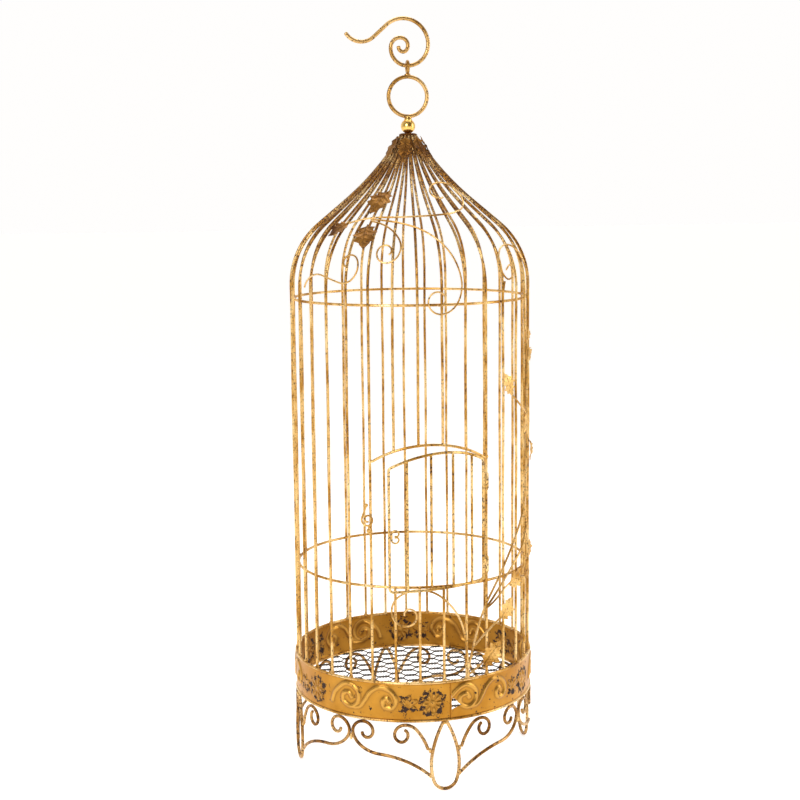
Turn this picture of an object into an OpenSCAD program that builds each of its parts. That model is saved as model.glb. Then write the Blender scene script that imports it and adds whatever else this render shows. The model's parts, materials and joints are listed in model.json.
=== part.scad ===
// Bird cage of welded wire on four scrolled wire feet, with an arched door,
// an embossed sheet band round its base, a pointed dome and a hanging hook.
// The origin is on the cage's axis at floor level, +Z is up, and the door faces -Y.
// Places on the cage are given as [angle from the door's middle, distance up a bar].

/* [Bars] */
// Radius of the circle that the bar centres stand on
cage_r = 178; // [150:1:215]
// Diameter of the bar wire
bar_d = 4; // [3:0.1:4.6]
// Number of bars round the cage
bar_count = 32; // [24:4:32]
// Spaces between bars that the door takes up
door_spaces = 5; // [5:2:7]

/* [Heights] */
// Floor to the underside of the base band
leg_h = 104.5; // [95:0.5:130]
// Height of the base band between the middles of its rims
band_h = 56.5; // [40:0.5:80]
// Top rim to the middle hoop
mid_hoop_h = 140; // [125:1:170]
// Top rim to the hoop under the dome
eaves_h = 543; // [450:1:700]
// Straight length of the bars above that hoop
eaves_rise = 19; // [5:1:40]

/* [Dome] */
// Bend radius of the shoulder
shoulder_r = 118; // [60:1:130]
// Angle that the shoulder turns inward
shoulder_turn = 50; // [40:1:55]
// Bend radius of the hollow curve below the crown
crown_bend_r = 420; // [200:5:450]
// Angle that the hollow curve turns back
crown_turn = 17; // [8:1:18]
// Radius of the circle where the long bars end
crown_r = 12; // [11.5:0.5:16]
// Radius of the circle where the short bars end
short_bar_r = 25; // [24:0.5:34]

/* [Hoops and band] */
// Diameter of the hoop wire
hoop_d = 4; // [3:0.1:5]
// Diameter of the rim wires along the band's edges
rim_d = 4; // [3:0.1:5]
// Radius of the band's outer face
band_r = 181; // [154:1:218]
// Thickness of the band's sheet
band_t = 1; // [0.6:0.1:2]
// Width of one mesh of the floor netting
mesh_w = 25; // [20:1:40]
// Diameter of the netting wire
mesh_wire_d = 1.4; // [1:0.1:2]

/* [Door] */
// Angle that the door stands open at rest
door_ajar = 19; // [10:1:30]
// Middle hoop up to the door's bottom rail
door_lift = 6; // [5:0.5:12]
// Straight height of the door's sides
door_side_h = 175; // [150:1:200]
// Rise of the door's arch
door_rise = 18.5; // [10:0.5:30]
// Distance from a jamb bar's centre to the door stile's centre
door_gap = 9.4; // [8.5:0.1:11]
// Gap between the door's arch and the arch over it
arch_gap = 5; // [3:0.5:8]
// Diameter of the door wire
door_d = 4; // [3:0.1:4.6]
// Space between the door and the hoop that it closes against
door_stand_off = 0.6; // [0.4:0.1:1]

/* [Hinges and latch] */
// Length of a hinge sleeve
sleeve_len = 23; // [16:1:30]
// Wall of a hinge sleeve
sleeve_wall = 1.1; // [0.8:0.1:1.5]
// Radial clearance between a sleeve and its jamb bar
sleeve_clear = 0.08; // [0.05:0.01:0.1]
// Door rail up to the middle of the lower hinge
hinge_low = 20; // [18:1:30]
// Door rail up to the middle of the upper hinge
hinge_high = 142; // [110:1:145]
// Height of a hinge's tab
tab_h = 10; // [6:1:14]
// Diameter of the latch wire
latch_d = 3; // [2:0.1:3.5]
// Door rail up to the latch's pivot
latch_h = 77; // [60:1:90]
// Diameter of the latch's pivot stud
stud_d = 3; // [2.5:0.1:4]
// Diameter of the wire of the door's catch
catch_d = 2.6; // [2:0.1:3]

/* [Feet] */
// Diameter of the foot wire
foot_d = 5; // [4:0.1:5]
// Width of a foot loop between wire centres
foot_w = 40; // [34:1:44]

/* [Top] */
// Diameter of the finial ball
ball_d = 21.4; // [16:0.1:26]
// Diameter of the hanging ring between wire centres
ring_mean_d = 57.4; // [45:0.2:70]
// Diameter of the ring and hook wire
hook_d = 6; // [5:0.1:6.4]
// Diameter of the wire of the eye on the ring
eye_wire_d = 4.6; // [4:0.1:5]

/* [Vines] */
// Diameter of the tendril wire
tendril_d = 2.6; // [2:0.1:3.2]
// Diameter of the vine stems
stem_d = 3.2; // [2.4:0.1:3.6]
// Length of a large leaf
leaf_len = 38; // [26:1:42]

/* [Hidden] */
// Gap left between pieces that the finished cage joins with a bead of braze
joint_gap = 0.2;
// Lap between the pieces of a flat wire, and how much thinner every other piece is
lap_len = 0.06;
lap_trim = 0.02;
// Angle and length of one step along a swept wire
step_turn = 20;
step_len = 16;
// Sides of a swept wire
wire_sides = 6;
$fn = 48;
deg = 180 / PI;

pitch_a = 360 / bar_count;
jamb_a = door_spaces * pitch_a / 2;
full_bars = bar_count - door_spaces + 1;
cut_bars = door_spaces - 1;

rim_low_z = leg_h + rim_d / 2;
rim_top_z = rim_low_z + band_h;
bar_foot_z = rim_top_z + rim_d / 2;
mid_hoop_z = rim_top_z + mid_hoop_h;
dome_hoop_z = rim_top_z + eaves_h;
shoulder_z = dome_hoop_z + eaves_rise;
hoop_r = cage_r - (bar_d + hoop_d) / 2;
rim_r = band_r - band_t / 2;

// The bar's line: upright, shoulder arc, straight slope, hollow arc
slope_r = cage_r - shoulder_r * (1 - cos(shoulder_turn));
slope_z = shoulder_z + shoulder_r * sin(shoulder_turn);
end_tilt = shoulder_turn - crown_turn;
hollow_run = crown_bend_r * (cos(end_tilt) - cos(shoulder_turn));
slope_len = (slope_r - crown_r - hollow_run) / sin(shoulder_turn);
hollow_r = slope_r - slope_len * sin(shoulder_turn);
hollow_z = slope_z + slope_len * cos(shoulder_turn);
shoulder_len = shoulder_r * shoulder_turn / deg;
hollow_centre = [
    hollow_r + crown_bend_r * cos(shoulder_turn),
    hollow_z + crown_bend_r * sin(shoulder_turn)
];
crown_z = hollow_centre.y - crown_bend_r * sin(end_tilt);

// The door, on the cage's own circle when shut
door_r = cage_r + door_stand_off;
door_rail_z = mid_hoop_z + door_lift;
stile_a = jamb_a - door_gap / cage_r * deg;
door_half_w = stile_a / deg * door_r;
door_arch_r = (pow(door_half_w, 2) + pow(door_rise, 2)) / (2 * door_rise);
door_corner_r = 5;
door_arch_a = asin((door_half_w - door_corner_r) / (door_arch_r - door_corner_r));
hinge_line = [cage_r * sin(jamb_a), -cage_r * cos(jamb_a)];
// The arch over the door is set this much lower than its own rise, to stay near the door's
arch_drop = 2;
opening_crown_z = door_rail_z + door_side_h + door_rise + arch_gap + (door_d + bar_d) / 2 - arch_drop;
sleeve_bore_r = bar_d / 2 + sleeve_clear;
sleeve_r = sleeve_bore_r + sleeve_wall;

// Wires that lie on the outside of the bars, and where the stems start
vine_v = bar_foot_z + 1;
tendril_lift = (bar_d + tendril_d) / 2 + joint_gap;
stem_lift = (bar_d + stem_d) / 2 + joint_gap;
leaf_t = 0.8;

// The top
cap_t = 3.6;
cap_r = crown_r + 1.5;
cap_z = crown_z + bar_d / 2 * sin(end_tilt) + joint_gap;
ball_sink = 0.9;
ball_z = cap_z + cap_t + ball_d / 2 - ball_sink;
neck_r = 5.3;
ring_z = ball_z + ball_d / 2 + 3.8 + ring_mean_d / 2;
eye_bore_r = hook_d / 2 + 3;
eye_mean_r = eye_bore_r + eye_wire_d / 2;
eye_z = ring_z + ring_mean_d / 2 + hook_d / 2 + eye_mean_r + eye_wire_d / 2 + joint_gap;
pivot_z = eye_z + eye_bore_r - hook_d / 2 - 0.9;

function two_digits(n) = str(n < 10 ? "0" : "", n);
bar_names = [for (i = [1 : full_bars]) str("bar_", two_digits(i))];
foot_names = [for (i = [1 : 4]) str("foot_loop_", i)];

// ---- The cage's skin: the surface that the bar centres lie in ----

// Tilt of the skin inward from upright, at distance v up a bar
function skin_tilt(v) =
    v < shoulder_z ? 0
    : v < shoulder_z + shoulder_len ? (v - shoulder_z) / shoulder_r * deg
    : v < shoulder_z + shoulder_len + slope_len ? shoulder_turn
    : shoulder_turn - (v - shoulder_z - shoulder_len - slope_len) / crown_bend_r * deg;

// [radius, height] of the skin at distance v up a bar
function skin(v) =
    let (t = skin_tilt(v))
    v < shoulder_z ? [cage_r, v]
    : v < shoulder_z + shoulder_len ?
        [cage_r - shoulder_r * (1 - cos(t)), shoulder_z + shoulder_r * sin(t)]
    : v < shoulder_z + shoulder_len + slope_len ?
        let (s = v - shoulder_z - shoulder_len)
        [slope_r - s * sin(t), slope_z + s * cos(t)]
    : hollow_centre - crown_bend_r * [cos(t), sin(t)];

function outward(a) = [sin(a), -cos(a), 0];
function along(a) = [cos(a), sin(a), 0];
function skin_normal(a, v) = cos(skin_tilt(v)) * outward(a) + [0, 0, sin(skin_tilt(v))];
function skin_up(a, v) = [0, 0, cos(skin_tilt(v))] - sin(skin_tilt(v)) * outward(a);
function skin_point(a, v, lift) =
    skin(v).x * outward(a) + [0, 0, skin(v).y] + lift * skin_normal(a, v);

// ---- Wires bent on the skin ----
// A bend is [length, radius at its start, radius at its end]; a positive radius turns
// to the left as seen from outside, and a bend with no radius is straight.

function curl(b, t) = len(b) == 1 ? 0 : deg / (b[1] + (len(b) == 2 ? 0 : b[2] - b[1]) * t);
function bend_steps(b) =
    let (
        turn = b[0] * max(abs(curl(b, 0)), abs(curl(b, 1))),
        n = ceil(max(b[0] / step_len, turn / 1.4 / step_turn))
    )
    [for (i = [0 : n - 1]) [b[0] / n, curl(b, (i + 0.5) / n)]];
function next_place(p, s, lift) =
    let (h = p[2] + s[0] * s[1] / 2)
    [
        p[0] + cos(h) * s[0] / (skin(p[1]).x + lift) * deg,
        p[1] + sin(h) * s[0],
        p[2] + s[0] * s[1]
    ];
// Places [angle, distance up, heading] along a wire
function trail(start, heading, bends, lift) =
    let (steps = [for (b = bends) each bend_steps(b)])
    [
        for (
            i = 0, p = [start[0], start[1], heading];
            i <= len(steps);
            p = i < len(steps) ? next_place(p, steps[i], lift) : p, i = i + 1
        ) p
    ];
// A trail's copy on the other side of angle 0
function mirrored(places) = [for (p = places) [-p[0], p[1], 180 - p[2]]];
function turned(places, a) = [for (p = places) [p[0] + a, p[1], p[2]]];
function ring_at(p, d, lift, sides) =
    let (
        n = skin_normal(p[0], p[1]),
        side = cos(p[2]) * skin_up(p[0], p[1]) - sin(p[2]) * along(p[0]),
        c = skin_point(p[0], p[1], lift)
    )
    [for (k = [0 : sides - 1]) c + d / 2 * (cos(360 * k / sides) * n + sin(360 * k / sides) * side)];

// Closed skin over a row of rings, with flat ends or joined end to end
module tube(rings, closed = false) {
    n = len(rings);
    s = len(rings[0]);
    spans = closed ? n : n - 1;
    walls = [
        for (i = [0 : spans - 1], k = [0 : s - 1])
            let (a = i * s, b = ((i + 1) % n) * s, m = (k + 1) % s)
            [a + k, a + m, b + m, b + k]
    ];
    ends = closed ? [] : [
        [for (k = [s - 1 : -1 : 0]) k],
        [for (k = [0 : s - 1]) (n - 1) * s + k]
    ];
    polyhedron(points = [for (r = rings) each r], faces = concat(walls, ends), convexity = 6);
}

module skin_wire(places, d, lift, closed = false, sides = wire_sides) {
    tube([for (p = places) ring_at(p, d, lift, sides)], closed);
}

// ---- Flat wires of true arcs, in the X-Z plane ----
// A piece is [arc radius, angle], positive to the left, or [0, length] for a straight.
// Every other piece is a hair thicker and laps into its neighbours, so they fuse cleanly.

module arc_piece(r, amount, d, lap) {
    lap_a = lap / abs(r) * deg;
    translate([0, 0, r]) rotate([90, 0, 0]) rotate([0, 0, (r > 0 ? -90 : 90 - amount) - lap_a])
        rotate_extrude(angle = amount + 2 * lap_a) translate([abs(r), 0]) circle(d = d);
}

module after_arc(r, amount) {
    translate([0, 0, r]) rotate([0, -sign(r) * amount, 0]) translate([0, 0, -r]) children();
}

module bent_wire(pieces, d, parity = 0, i = 0) {
    if (i < len(pieces)) {
        r = pieces[i][0];
        amount = pieces[i][1];
        thick = (i + parity) % 2 == 0;
        lap = thick ? lap_len : 0;
        wire_d = thick ? d : d - lap_trim;
        if (r == 0) {
            translate([-lap, 0, 0]) rotate([0, 90, 0]) cylinder(d = wire_d, h = amount + 2 * lap);
            translate([amount, 0, 0]) bent_wire(pieces, d, parity, i + 1);
        } else {
            arc_piece(r, amount, wire_d, lap);
            after_arc(r, amount) bent_wire(pieces, d, parity, i + 1);
        }
    }
}

// Torus in the X-Y plane
module hoop(r, d) {
    rotate_extrude() translate([r, 0]) circle(d = d);
}

// Puts what is drawn in the X-Z plane, facing -Y, flat against the cage at angle a
module against(a, z, out) {
    rotate([0, 0, a]) translate([0, -cage_r - out, z]) children();
}

// Puts what is drawn in the X-Y plane, growing along +Y, on the skin
module on_skin(a, v, heading, lift) {
    n = skin_normal(a, v);
    y = cos(heading) * along(a) + sin(heading) * skin_up(a, v);
    x = cross(y, n);
    p = skin_point(a, v, lift);
    multmatrix([
        [x.x, y.x, n.x, p.x],
        [x.y, y.y, n.y, p.y],
        [x.z, y.z, n.z, p.z],
        [0, 0, 0, 1]
    ]) children();
}

// ---- Base ----

// Embossed sheet band between the two rims
module base_band() {
    edge = rim_d / 2 + joint_gap / 2;
    color("goldenrod") translate([0, 0, rim_low_z + edge]) difference() {
        cylinder(r = band_r, h = band_h - 2 * edge);
        translate([0, 0, -1]) cylinder(r = band_r - band_t, h = band_h - 2 * edge + 2);
    }
}

module band_top_rim() {
    color("gold") translate([0, 0, rim_top_z]) hoop(rim_r, rim_d);
}

module band_bottom_rim() {
    color("gold") translate([0, 0, rim_low_z]) hoop(rim_r, rim_d);
}

// Hexagonal wire netting, drawn as one flat web with six-sided meshes
module floor_netting() {
    row = mesh_w * sqrt(3) / 2;
    net_r = rim_r - rim_d / 2 - joint_gap;
    border = 3;
    rows = ceil(net_r / row);
    color("darkgoldenrod") translate([0, 0, rim_low_z - mesh_wire_d / 2]) difference() {
        cylinder(r = net_r, h = mesh_wire_d);
        intersection() {
            translate([0, 0, -1]) cylinder(r = net_r - border, h = mesh_wire_d + 2);
            for (j = [-rows : rows], i = [-rows : rows]) {
                x = (i + (abs(j) % 2) / 2) * mesh_w;
                y = j * row;
                if (norm([x, y]) < net_r - border)
                    translate([x, y, -1]) rotate([0, 0, 30])
                        cylinder(d = (mesh_w - mesh_wire_d) / cos(30), h = mesh_wire_d + 2, $fn = 6);
            }
        }
    }
}

// ---- Hoops and bars ----

module mid_hoop() {
    color("gold") translate([0, 0, mid_hoop_z]) hoop(hoop_r - joint_gap / 2, hoop_d);
}

module dome_hoop() {
    color("gold") translate([0, 0, dome_hoop_z]) hoop(hoop_r - joint_gap / 2, hoop_d);
}

// A bar from height foot_z up to the circle of radius end_r under the crown
module bar(a, foot_z, end_r) {
    tilt = acos(cos(shoulder_turn) + (hollow_r - end_r) / crown_bend_r);
    color("gold") rotate([0, 0, a - 90]) translate([cage_r, 0, foot_z]) rotate([0, -90, 0])
        bent_wire(
            [
                [0, shoulder_z - foot_z],
                [shoulder_r, shoulder_turn],
                [0, slope_len],
                [-crown_bend_r, shoulder_turn - tilt]
            ],
            bar_d, 1
        );
}

function bar_end_r(i) = i % 2 == 0 ? crown_r : short_bar_r;

// Ring of braze round a jamb bar, which a hinge sleeve rests on
module hinge_stop(z) {
    against(jamb_a, z, 0) cylinder(d = bar_d + 2, h = 1.6);
}

function sleeve_foot_z(h) = door_rail_z + h - sleeve_len / 2;

// One full bar; the first is the hinge jamb and the last the latch jamb
module cage_bar(i) {
    bar(jamb_a + pitch_a * (i - 1), bar_foot_z + joint_gap, bar_end_r(i));
    if (i == 1)
        color("gold") for (h = [hinge_low, hinge_high])
            hinge_stop(sleeve_foot_z(h) - 1.6 - joint_gap);
}

// Height of the arch over the door, at angle a
opening_half_w = jamb_a / deg * cage_r - bar_d - joint_gap;
opening_rise = door_rise + arch_gap;
opening_arch_r = (pow(opening_half_w, 2) + pow(opening_rise, 2)) / (2 * opening_rise);
opening_arch_a = asin(opening_half_w / opening_arch_r);
function opening_z(a) =
    opening_crown_z - opening_arch_r + sqrt(pow(opening_arch_r, 2) - pow(a / deg * cage_r, 2));

// The bars over the door stop on the arch
module over_door_bars() {
    for (i = [1 : cut_bars]) {
        a = -jamb_a + pitch_a * i;
        slope = asin(abs(a) / deg * cage_r / opening_arch_r);
        clear = (bar_d / 2) / cos(slope) + bar_d / 2 * tan(slope) + joint_gap;
        bar(a, opening_z(a) + clear, bar_end_r(i + full_bars));
    }
}

// Short bars under the door, from the rim to the middle hoop
module sill_bars() {
    color("gold") for (i = [1 : cut_bars])
        against(-jamb_a + pitch_a * i, bar_foot_z, 0)
            cylinder(d = bar_d, h = mid_hoop_z + hoop_d / 2 - bar_foot_z);
}

module opening_arch() {
    half = opening_arch_a;
    start = [-opening_half_w / cage_r * deg, opening_z(opening_half_w / cage_r * deg)];
    color("gold")
        skin_wire(
            trail(start, half, [[2 * half / deg * opening_arch_r, -opening_arch_r]], 0),
            bar_d, 0
        );
}

// ---- Door ----

// Turns what is drawn in the shut position to where the door rests
module ajar() {
    translate([hinge_line.x, hinge_line.y, 0]) rotate([0, 0, door_ajar])
        translate([-hinge_line.x, -hinge_line.y, 0]) children();
}

// Outline of the door as one bent wire, from the middle of its bottom rail
module door_frame() {
    c = door_corner_r;
    top_turn = 90 - door_arch_a;
    rail = door_half_w - c;
    corner = [c * 90 / deg, c];
    top_corner = [c * top_turn / deg, c];
    side = [door_side_h + door_rise - door_arch_r + (door_arch_r - c) * cos(door_arch_a) - c];
    arch = [2 * door_arch_a / deg * door_arch_r, door_arch_r];
    bends = [[rail], corner, side, top_corner, arch, top_corner, side, corner, [rail]];
    places = trail([0, door_rail_z], 0, bends, door_stand_off);
    color("gold") ajar()
        skin_wire([for (i = [0 : len(places) - 2]) places[i]], door_d, door_stand_off, true, 8);
}

// Upright wires inside the door, in line with the bars that it cuts
module door_bars() {
    color("gold") ajar() for (i = [1 : cut_bars]) {
        a = -jamb_a + pitch_a * i;
        x = abs(a) / deg * door_r;
        slope = asin(x / door_arch_r);
        clear = (door_d / 2) / cos(slope) + door_d / 2 * tan(slope) + joint_gap;
        foot = door_rail_z + door_d / 2 + joint_gap;
        head = door_rail_z + door_side_h + door_rise - door_arch_r
            + sqrt(pow(door_arch_r, 2) - pow(x, 2)) - clear;
        against(a, foot, door_stand_off) cylinder(d = door_d, h = head - foot);
    }
}

// Two curls of wire brazed to the door's free stile, one above the other
module door_catch() {
    curl_r = 4.2;
    middle = 3;
    half = [[-curl_r, 175], [-curl_r * 0.7, 110]];
    offset_x = door_d / 2 + catch_d / 2 + joint_gap;
    color("gold") ajar() against(-stile_a, door_rail_z + latch_h + 2, door_stand_off)
        translate([offset_x, 0, 0]) {
            translate([0, 0, -middle / 2 - lap_len]) cylinder(d = catch_d, h = middle + 2 * lap_len);
            translate([0, 0, middle / 2]) rotate([0, -90, 0]) bent_wire(half, catch_d, 1);
            mirror([0, 0, 1]) translate([0, 0, middle / 2]) rotate([0, -90, 0])
                bent_wire(half, catch_d, 1);
        }
}

// Sheet sleeves that turn on the hinge jamb, each with a tab to the door's stile
module hinge_sleeves() {
    tab_t = 1.6;
    tab_reach = door_gap - door_d / 2 - joint_gap;
    color("goldenrod") ajar() for (upper = [false, true]) {
        z = sleeve_foot_z(upper ? hinge_high : hinge_low);
        tab_z = upper ? 1.5 : sleeve_len - tab_h - 1.5;
        against(jamb_a, z, 0) difference() {
            union() {
                cylinder(r = sleeve_r, h = sleeve_len);
                rotate([0, 0, pitch_a / 8])
                    translate([-tab_reach, -tab_t / 2, tab_z]) cube([tab_reach, tab_t, tab_h]);
            }
            translate([0, 0, -1]) cylinder(r = sleeve_bore_r, h = sleeve_len + 2);
        }
    }
}

// ---- Latch ----

latch_z = door_rail_z + latch_h;
latch_out = bar_d / 2 + door_stand_off + 1 + latch_d / 2;
stud_clear = 0.08;

// Stud on the latch jamb: a shaft with a round head
module latch_stud() {
    head_t = 1.4;
    reach = latch_out + latch_d / 2 + 0.6;
    color("gold") rotate([0, 0, -jamb_a]) translate([0, -cage_r, latch_z]) rotate([90, 0, 0])
        difference() {
            union() {
                cylinder(d = stud_d, h = reach);
                translate([0, 0, reach]) cylinder(d = stud_d + 2.4, h = head_t);
            }
            rotate([90, 0, 0]) cylinder(d = bar_d + 2 * joint_gap, h = 2 * stud_d, center = true);
        }
}

// Scrolled turn latch: an eye on the stud, a spiral, and an arm that ends in a knob
module latch() {
    knob_d = 5.4;
    knob = [-4.4, 0, 37];
    arm_heading = 250;
    arm_len = 20;
    ring_r = 8;
    eye_r = (stud_d + latch_d) / 2 + stud_clear;
    arm_end = [knob.x + arm_len * cos(arm_heading), knob.z + arm_len * sin(arm_heading)];
    ring_c = arm_end + ring_r * [-sin(arm_heading), cos(arm_heading)];
    neck_lean = atan2(ring_c.x, ring_c.y);
    color("gold") against(-jamb_a, latch_z, latch_out) {
        rotate([90, 0, 0]) hoop(eye_r, latch_d);
        rotate([0, neck_lean, 0]) translate([0, 0, eye_r])
            cylinder(d = latch_d * 0.8, h = norm(ring_c) - ring_r - eye_r);
        translate(knob) sphere(d = knob_d);
        translate(knob) rotate([0, -arm_heading, 0])
            bent_wire([[0, arm_len], [ring_r, 235], [ring_r * 0.66, 170], [ring_r * 0.4, 90]], latch_d, 1);
    }
}

// ---- Feet ----

function foot_a(i) = pitch_a / 2 + 90 * (i - 1);
foot_out = rim_r - cage_r;
foot_top_z = leg_h - joint_gap;

// Teardrop loop of bent wire, from the rim to the floor and back
module foot_loop(i) {
    toe_r = foot_w * 0.45;
    toe_a = 73;
    belly_r = foot_w * 2.15;
    belly_a = 26;
    belly_turn = toe_a + belly_a;
    belly_x = toe_r * sin(toe_a) + belly_r * (sin(belly_turn) - sin(toe_a));
    belly_z = toe_r * (1 - cos(toe_a)) + belly_r * (cos(toe_a) - cos(belly_turn));
    apex_x = foot_d * 0.62;
    room = foot_top_z - foot_d / 2 - belly_z;
    neck_a = 2 * (90 + atan((belly_x - apex_x) / room) - belly_turn);
    neck_tilt = belly_turn + neck_a - 90;
    rise = room - foot_d / 2 * sin(neck_tilt);
    neck_r = rise / (cos(belly_turn) - cos(belly_turn + neck_a));
    flank = [[belly_r, belly_a], [neck_r, neck_a]];
    color("gold") against(foot_a(i), foot_d / 2, foot_out) {
        after_arc(toe_r, -toe_a) arc_piece(toe_r, 2 * toe_a, foot_d, lap_len);
        after_arc(toe_r, toe_a) bent_wire(flank, foot_d, 1);
        mirror([1, 0, 0]) after_arc(toe_r, toe_a) bent_wire(flank, foot_d, 1);
    }
}

// The scrolls keep their shape and grow or shrink with the legs and the cage, and the
// braces of two neighbouring feet end side by side in the middle between them.
function scaled(bends, k) = [for (b = bends) k * b];
brace_bends = [[79, -118], [63, 80, 9.4], [71, 21.4, 6]];
brace_heading = 42;
brace_drop = 80;
scroll_bends = [[33, -88], [65, -23.4, -7.2], [19, -14, -6]];
scroll_heading = 72;
scroll_drop = 40.5;
design_leg_h = 104.5;
flank_a = (foot_w / 2 + foot_d / 2 + 1) / rim_r * deg;
brace_reach = max([for (p = trail([0, 0], brace_heading, brace_bends, foot_out)) p[0]]);
brace_room = 45 - flank_a - (foot_d + joint_gap) / 2 / rim_r * deg;
scroll_k = min(leg_h / design_leg_h, brace_room / brace_reach);

// A scroll that starts this far below the rim beside a foot loop, for legs of design_leg_h
function foot_trail(drop, side_a, heading, bends) =
    trail([side_a, leg_h - drop * scroll_k], heading, scaled(bends, scroll_k), foot_out);

module four_sided(places) {
    for (i = [1 : 4]) {
        skin_wire(turned(places, foot_a(i)), foot_d, foot_out);
        skin_wire(turned(mirrored(places), foot_a(i)), foot_d, foot_out);
    }
}

// C scrolls beside each foot loop, from the loop's flank up to the rim and in
module foot_scrolls() {
    start_a = flank_a + foot_d * 0.4 / rim_r * deg;
    color("gold") four_sided(foot_trail(scroll_drop, start_a, scroll_heading, scroll_bends));
}

// Braces from each loop's flank to the middle of the side, ending in a curl
module foot_braces() {
    color("gold") four_sided(foot_trail(brace_drop, flank_a, brace_heading, brace_bends));
}

// ---- Crown, ring and hook ----

// Cap over the bar ends, with a stem down between them
module crown_hub() {
    stem_r = crown_r - bar_d / 2 - 1;
    color("goldenrod") translate([0, 0, cap_z]) {
        cylinder(r1 = cap_r, r2 = cap_r - 2, h = cap_t);
        translate([0, 0, -22]) cylinder(r = stem_r, h = 22);
    }
}

// Ball with a neck that the ring stands on
module finial_ball() {
    color("gold") difference() {
        union() {
            translate([0, 0, ball_z]) sphere(d = ball_d);
            translate([0, 0, ball_z]) cylinder(r = neck_r, h = ball_d / 2 + 3.8);
        }
        translate([0, 0, cap_z + cap_t - ball_d]) cylinder(d = ball_d * 2, h = ball_d);
        translate([0, 0, ring_z]) rotate([90, 0, 0]) hoop(ring_mean_d / 2, hook_d + 2 * joint_gap);
    }
}

module hanging_ring() {
    color("gold") translate([0, 0, ring_z]) rotate([90, 0, 0]) hoop(ring_mean_d / 2, hook_d);
}

// Eye brazed upright on the ring, across it
module ring_eye() {
    color("gold") translate([0, 0, eye_z]) rotate([0, 90, 0]) hoop(eye_mean_r, eye_wire_d);
}

// Scrolled hook: a spiral through the eye, a large crook and a turned-up tip
module hook() {
    crook = [[31, 90], [37, 132], [0, 26], [-27, 98]];
    spiral = [[24.7, 98], [14.2, 85], [11.2, 120], [6.6, 150]];
    color("gold") translate([0, 0, pivot_z]) {
        bent_wire(crook, hook_d, 0);
        mirror([1, 0, 0]) bent_wire(spiral, hook_d, 1);
    }
}

// ---- Leaves and vines ----

// Half of a lobed leaf's outline for a leaf one unit long, stalk to tip
leaf_edge = [
    [0.03, 0], [0.16, 0.08], [0.34, 0.05], [0.30, 0.20], [0.44, 0.34], [0.30, 0.42],
    [0.38, 0.58], [0.24, 0.62], [0.20, 0.78], [0.10, 0.82], [0, 1]
];

module leaf_plate(size, wide) {
    edge = size * [for (p = leaf_edge) [p.x * wide, p.y]];
    other_side = [for (i = [len(edge) - 2 : -1 : 0]) [-edge[i].x, edge[i].y]];
    linear_extrude(height = leaf_t) polygon(concat(edge, other_side));
}

// A leaf is [angle, distance up, heading of its tip, length]
module leaves(list, lift, wide = 1) {
    color("darkgoldenrod") for (l = list) on_skin(l[0], l[1], l[2], lift) leaf_plate(l[3], wide);
}

crown_leaf_count = 7;
crown_v = shoulder_z + shoulder_len + slope_len + crown_bend_r * crown_turn / deg;

module crown_leaves() {
    leaves(
        [for (i = [0 : crown_leaf_count - 1]) [-20 + 360 / crown_leaf_count * i, crown_v - 4, -90, leaf_len]],
        bar_d / 2 + pow(leaf_len, 2) / (2 * crown_bend_r) + 0.3,
        0.6
    );
}

// Wires that curl over the dome: [start, heading, bends]
dome_k = cage_r / 178;
dome_curls = [
    [[-50, 100.5], 32, [[60, -107], [93, 752], [104, 98, 10], [70, 33, 7]]],
    [[-33, 112], -2, [[60, -165], [110, -104], [68, -60, -18], [78, -19, -7]]],
    [[-31.4, 108], -12, [[54, -64], [64, -32, -12], [46, -15, -6]]],
    [[-65.3, 3], 63, [[48, -35], [33], [51, 23], [40, 14, 7]]],
    [[41, -2.4], 96, [[31, 438], [54, -28.5], [58, -380]]]
];
function dome_place(a, rise) = [a, shoulder_z + dome_k * rise];

module dome_tendrils() {
    color("gold") for (c = dome_curls) {
        start = dome_place(c[0][0], c[0][1]);
        skin_wire(trail(start, c[1], scaled(c[2], dome_k), tendril_lift), tendril_d, tendril_lift);
    }
}

leaf_lift = bar_d / 2 + tendril_d + 2 * joint_gap + 0.4;

module dome_leaves() {
    leaves(
        [
            [each dome_place(-28, 183), -125, leaf_len],
            [each dome_place(-33, 110), -80, leaf_len],
            [each dome_place(-53, 116), -150, leaf_len * 0.8]
        ],
        leaf_lift
    );
}

// Scrolled stem under the door, from the rim up and over to its curl
module sill_scroll() {
    bends = [[68, 340], [69, 92, 101], [62, 52, 46], [114, 31, 6]];
    places = trail([17.2, vine_v], 90, scaled(bends, mid_hoop_h / 140), stem_lift);
    color("gold") skin_wire(places, stem_d, stem_lift);
}

// Stems that fan out over the bars beside the hinge: [start, heading, bends]
stems = [
    [[19, vine_v], 89, [[140, -190], [130, 640], [60, 300], [70, 60, 30]]],
    [[22, vine_v + 30], 60, [[44, -100], [40, 90]]],
    [[21.6, vine_v], 50, [[44, -200]]]
];

module side_vine() {
    color("gold") for (s = stems)
        skin_wire(trail(s[0], s[1], s[2], stem_lift), stem_d, stem_lift);
}

module vine_leaves() {
    leaves(
        [
            [37, vine_v + 50, -60, leaf_len],
            [40, vine_v + 104, -75, leaf_len],
            [51, vine_v + 152, -60, leaf_len],
            [36, vine_v + 436, -50, leaf_len * 0.9],
            [55, vine_v + 365, -95, leaf_len * 0.7],
            [62, vine_v + 310, -85, leaf_len * 0.8],
            [64, vine_v + 160, -95, leaf_len * 0.8],
            [61, vine_v + 485, -85, leaf_len * 0.8]
        ],
        bar_d / 2 + stem_d + 2 * joint_gap + 0.4
    );
}

// ---- The nodes ----

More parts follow.
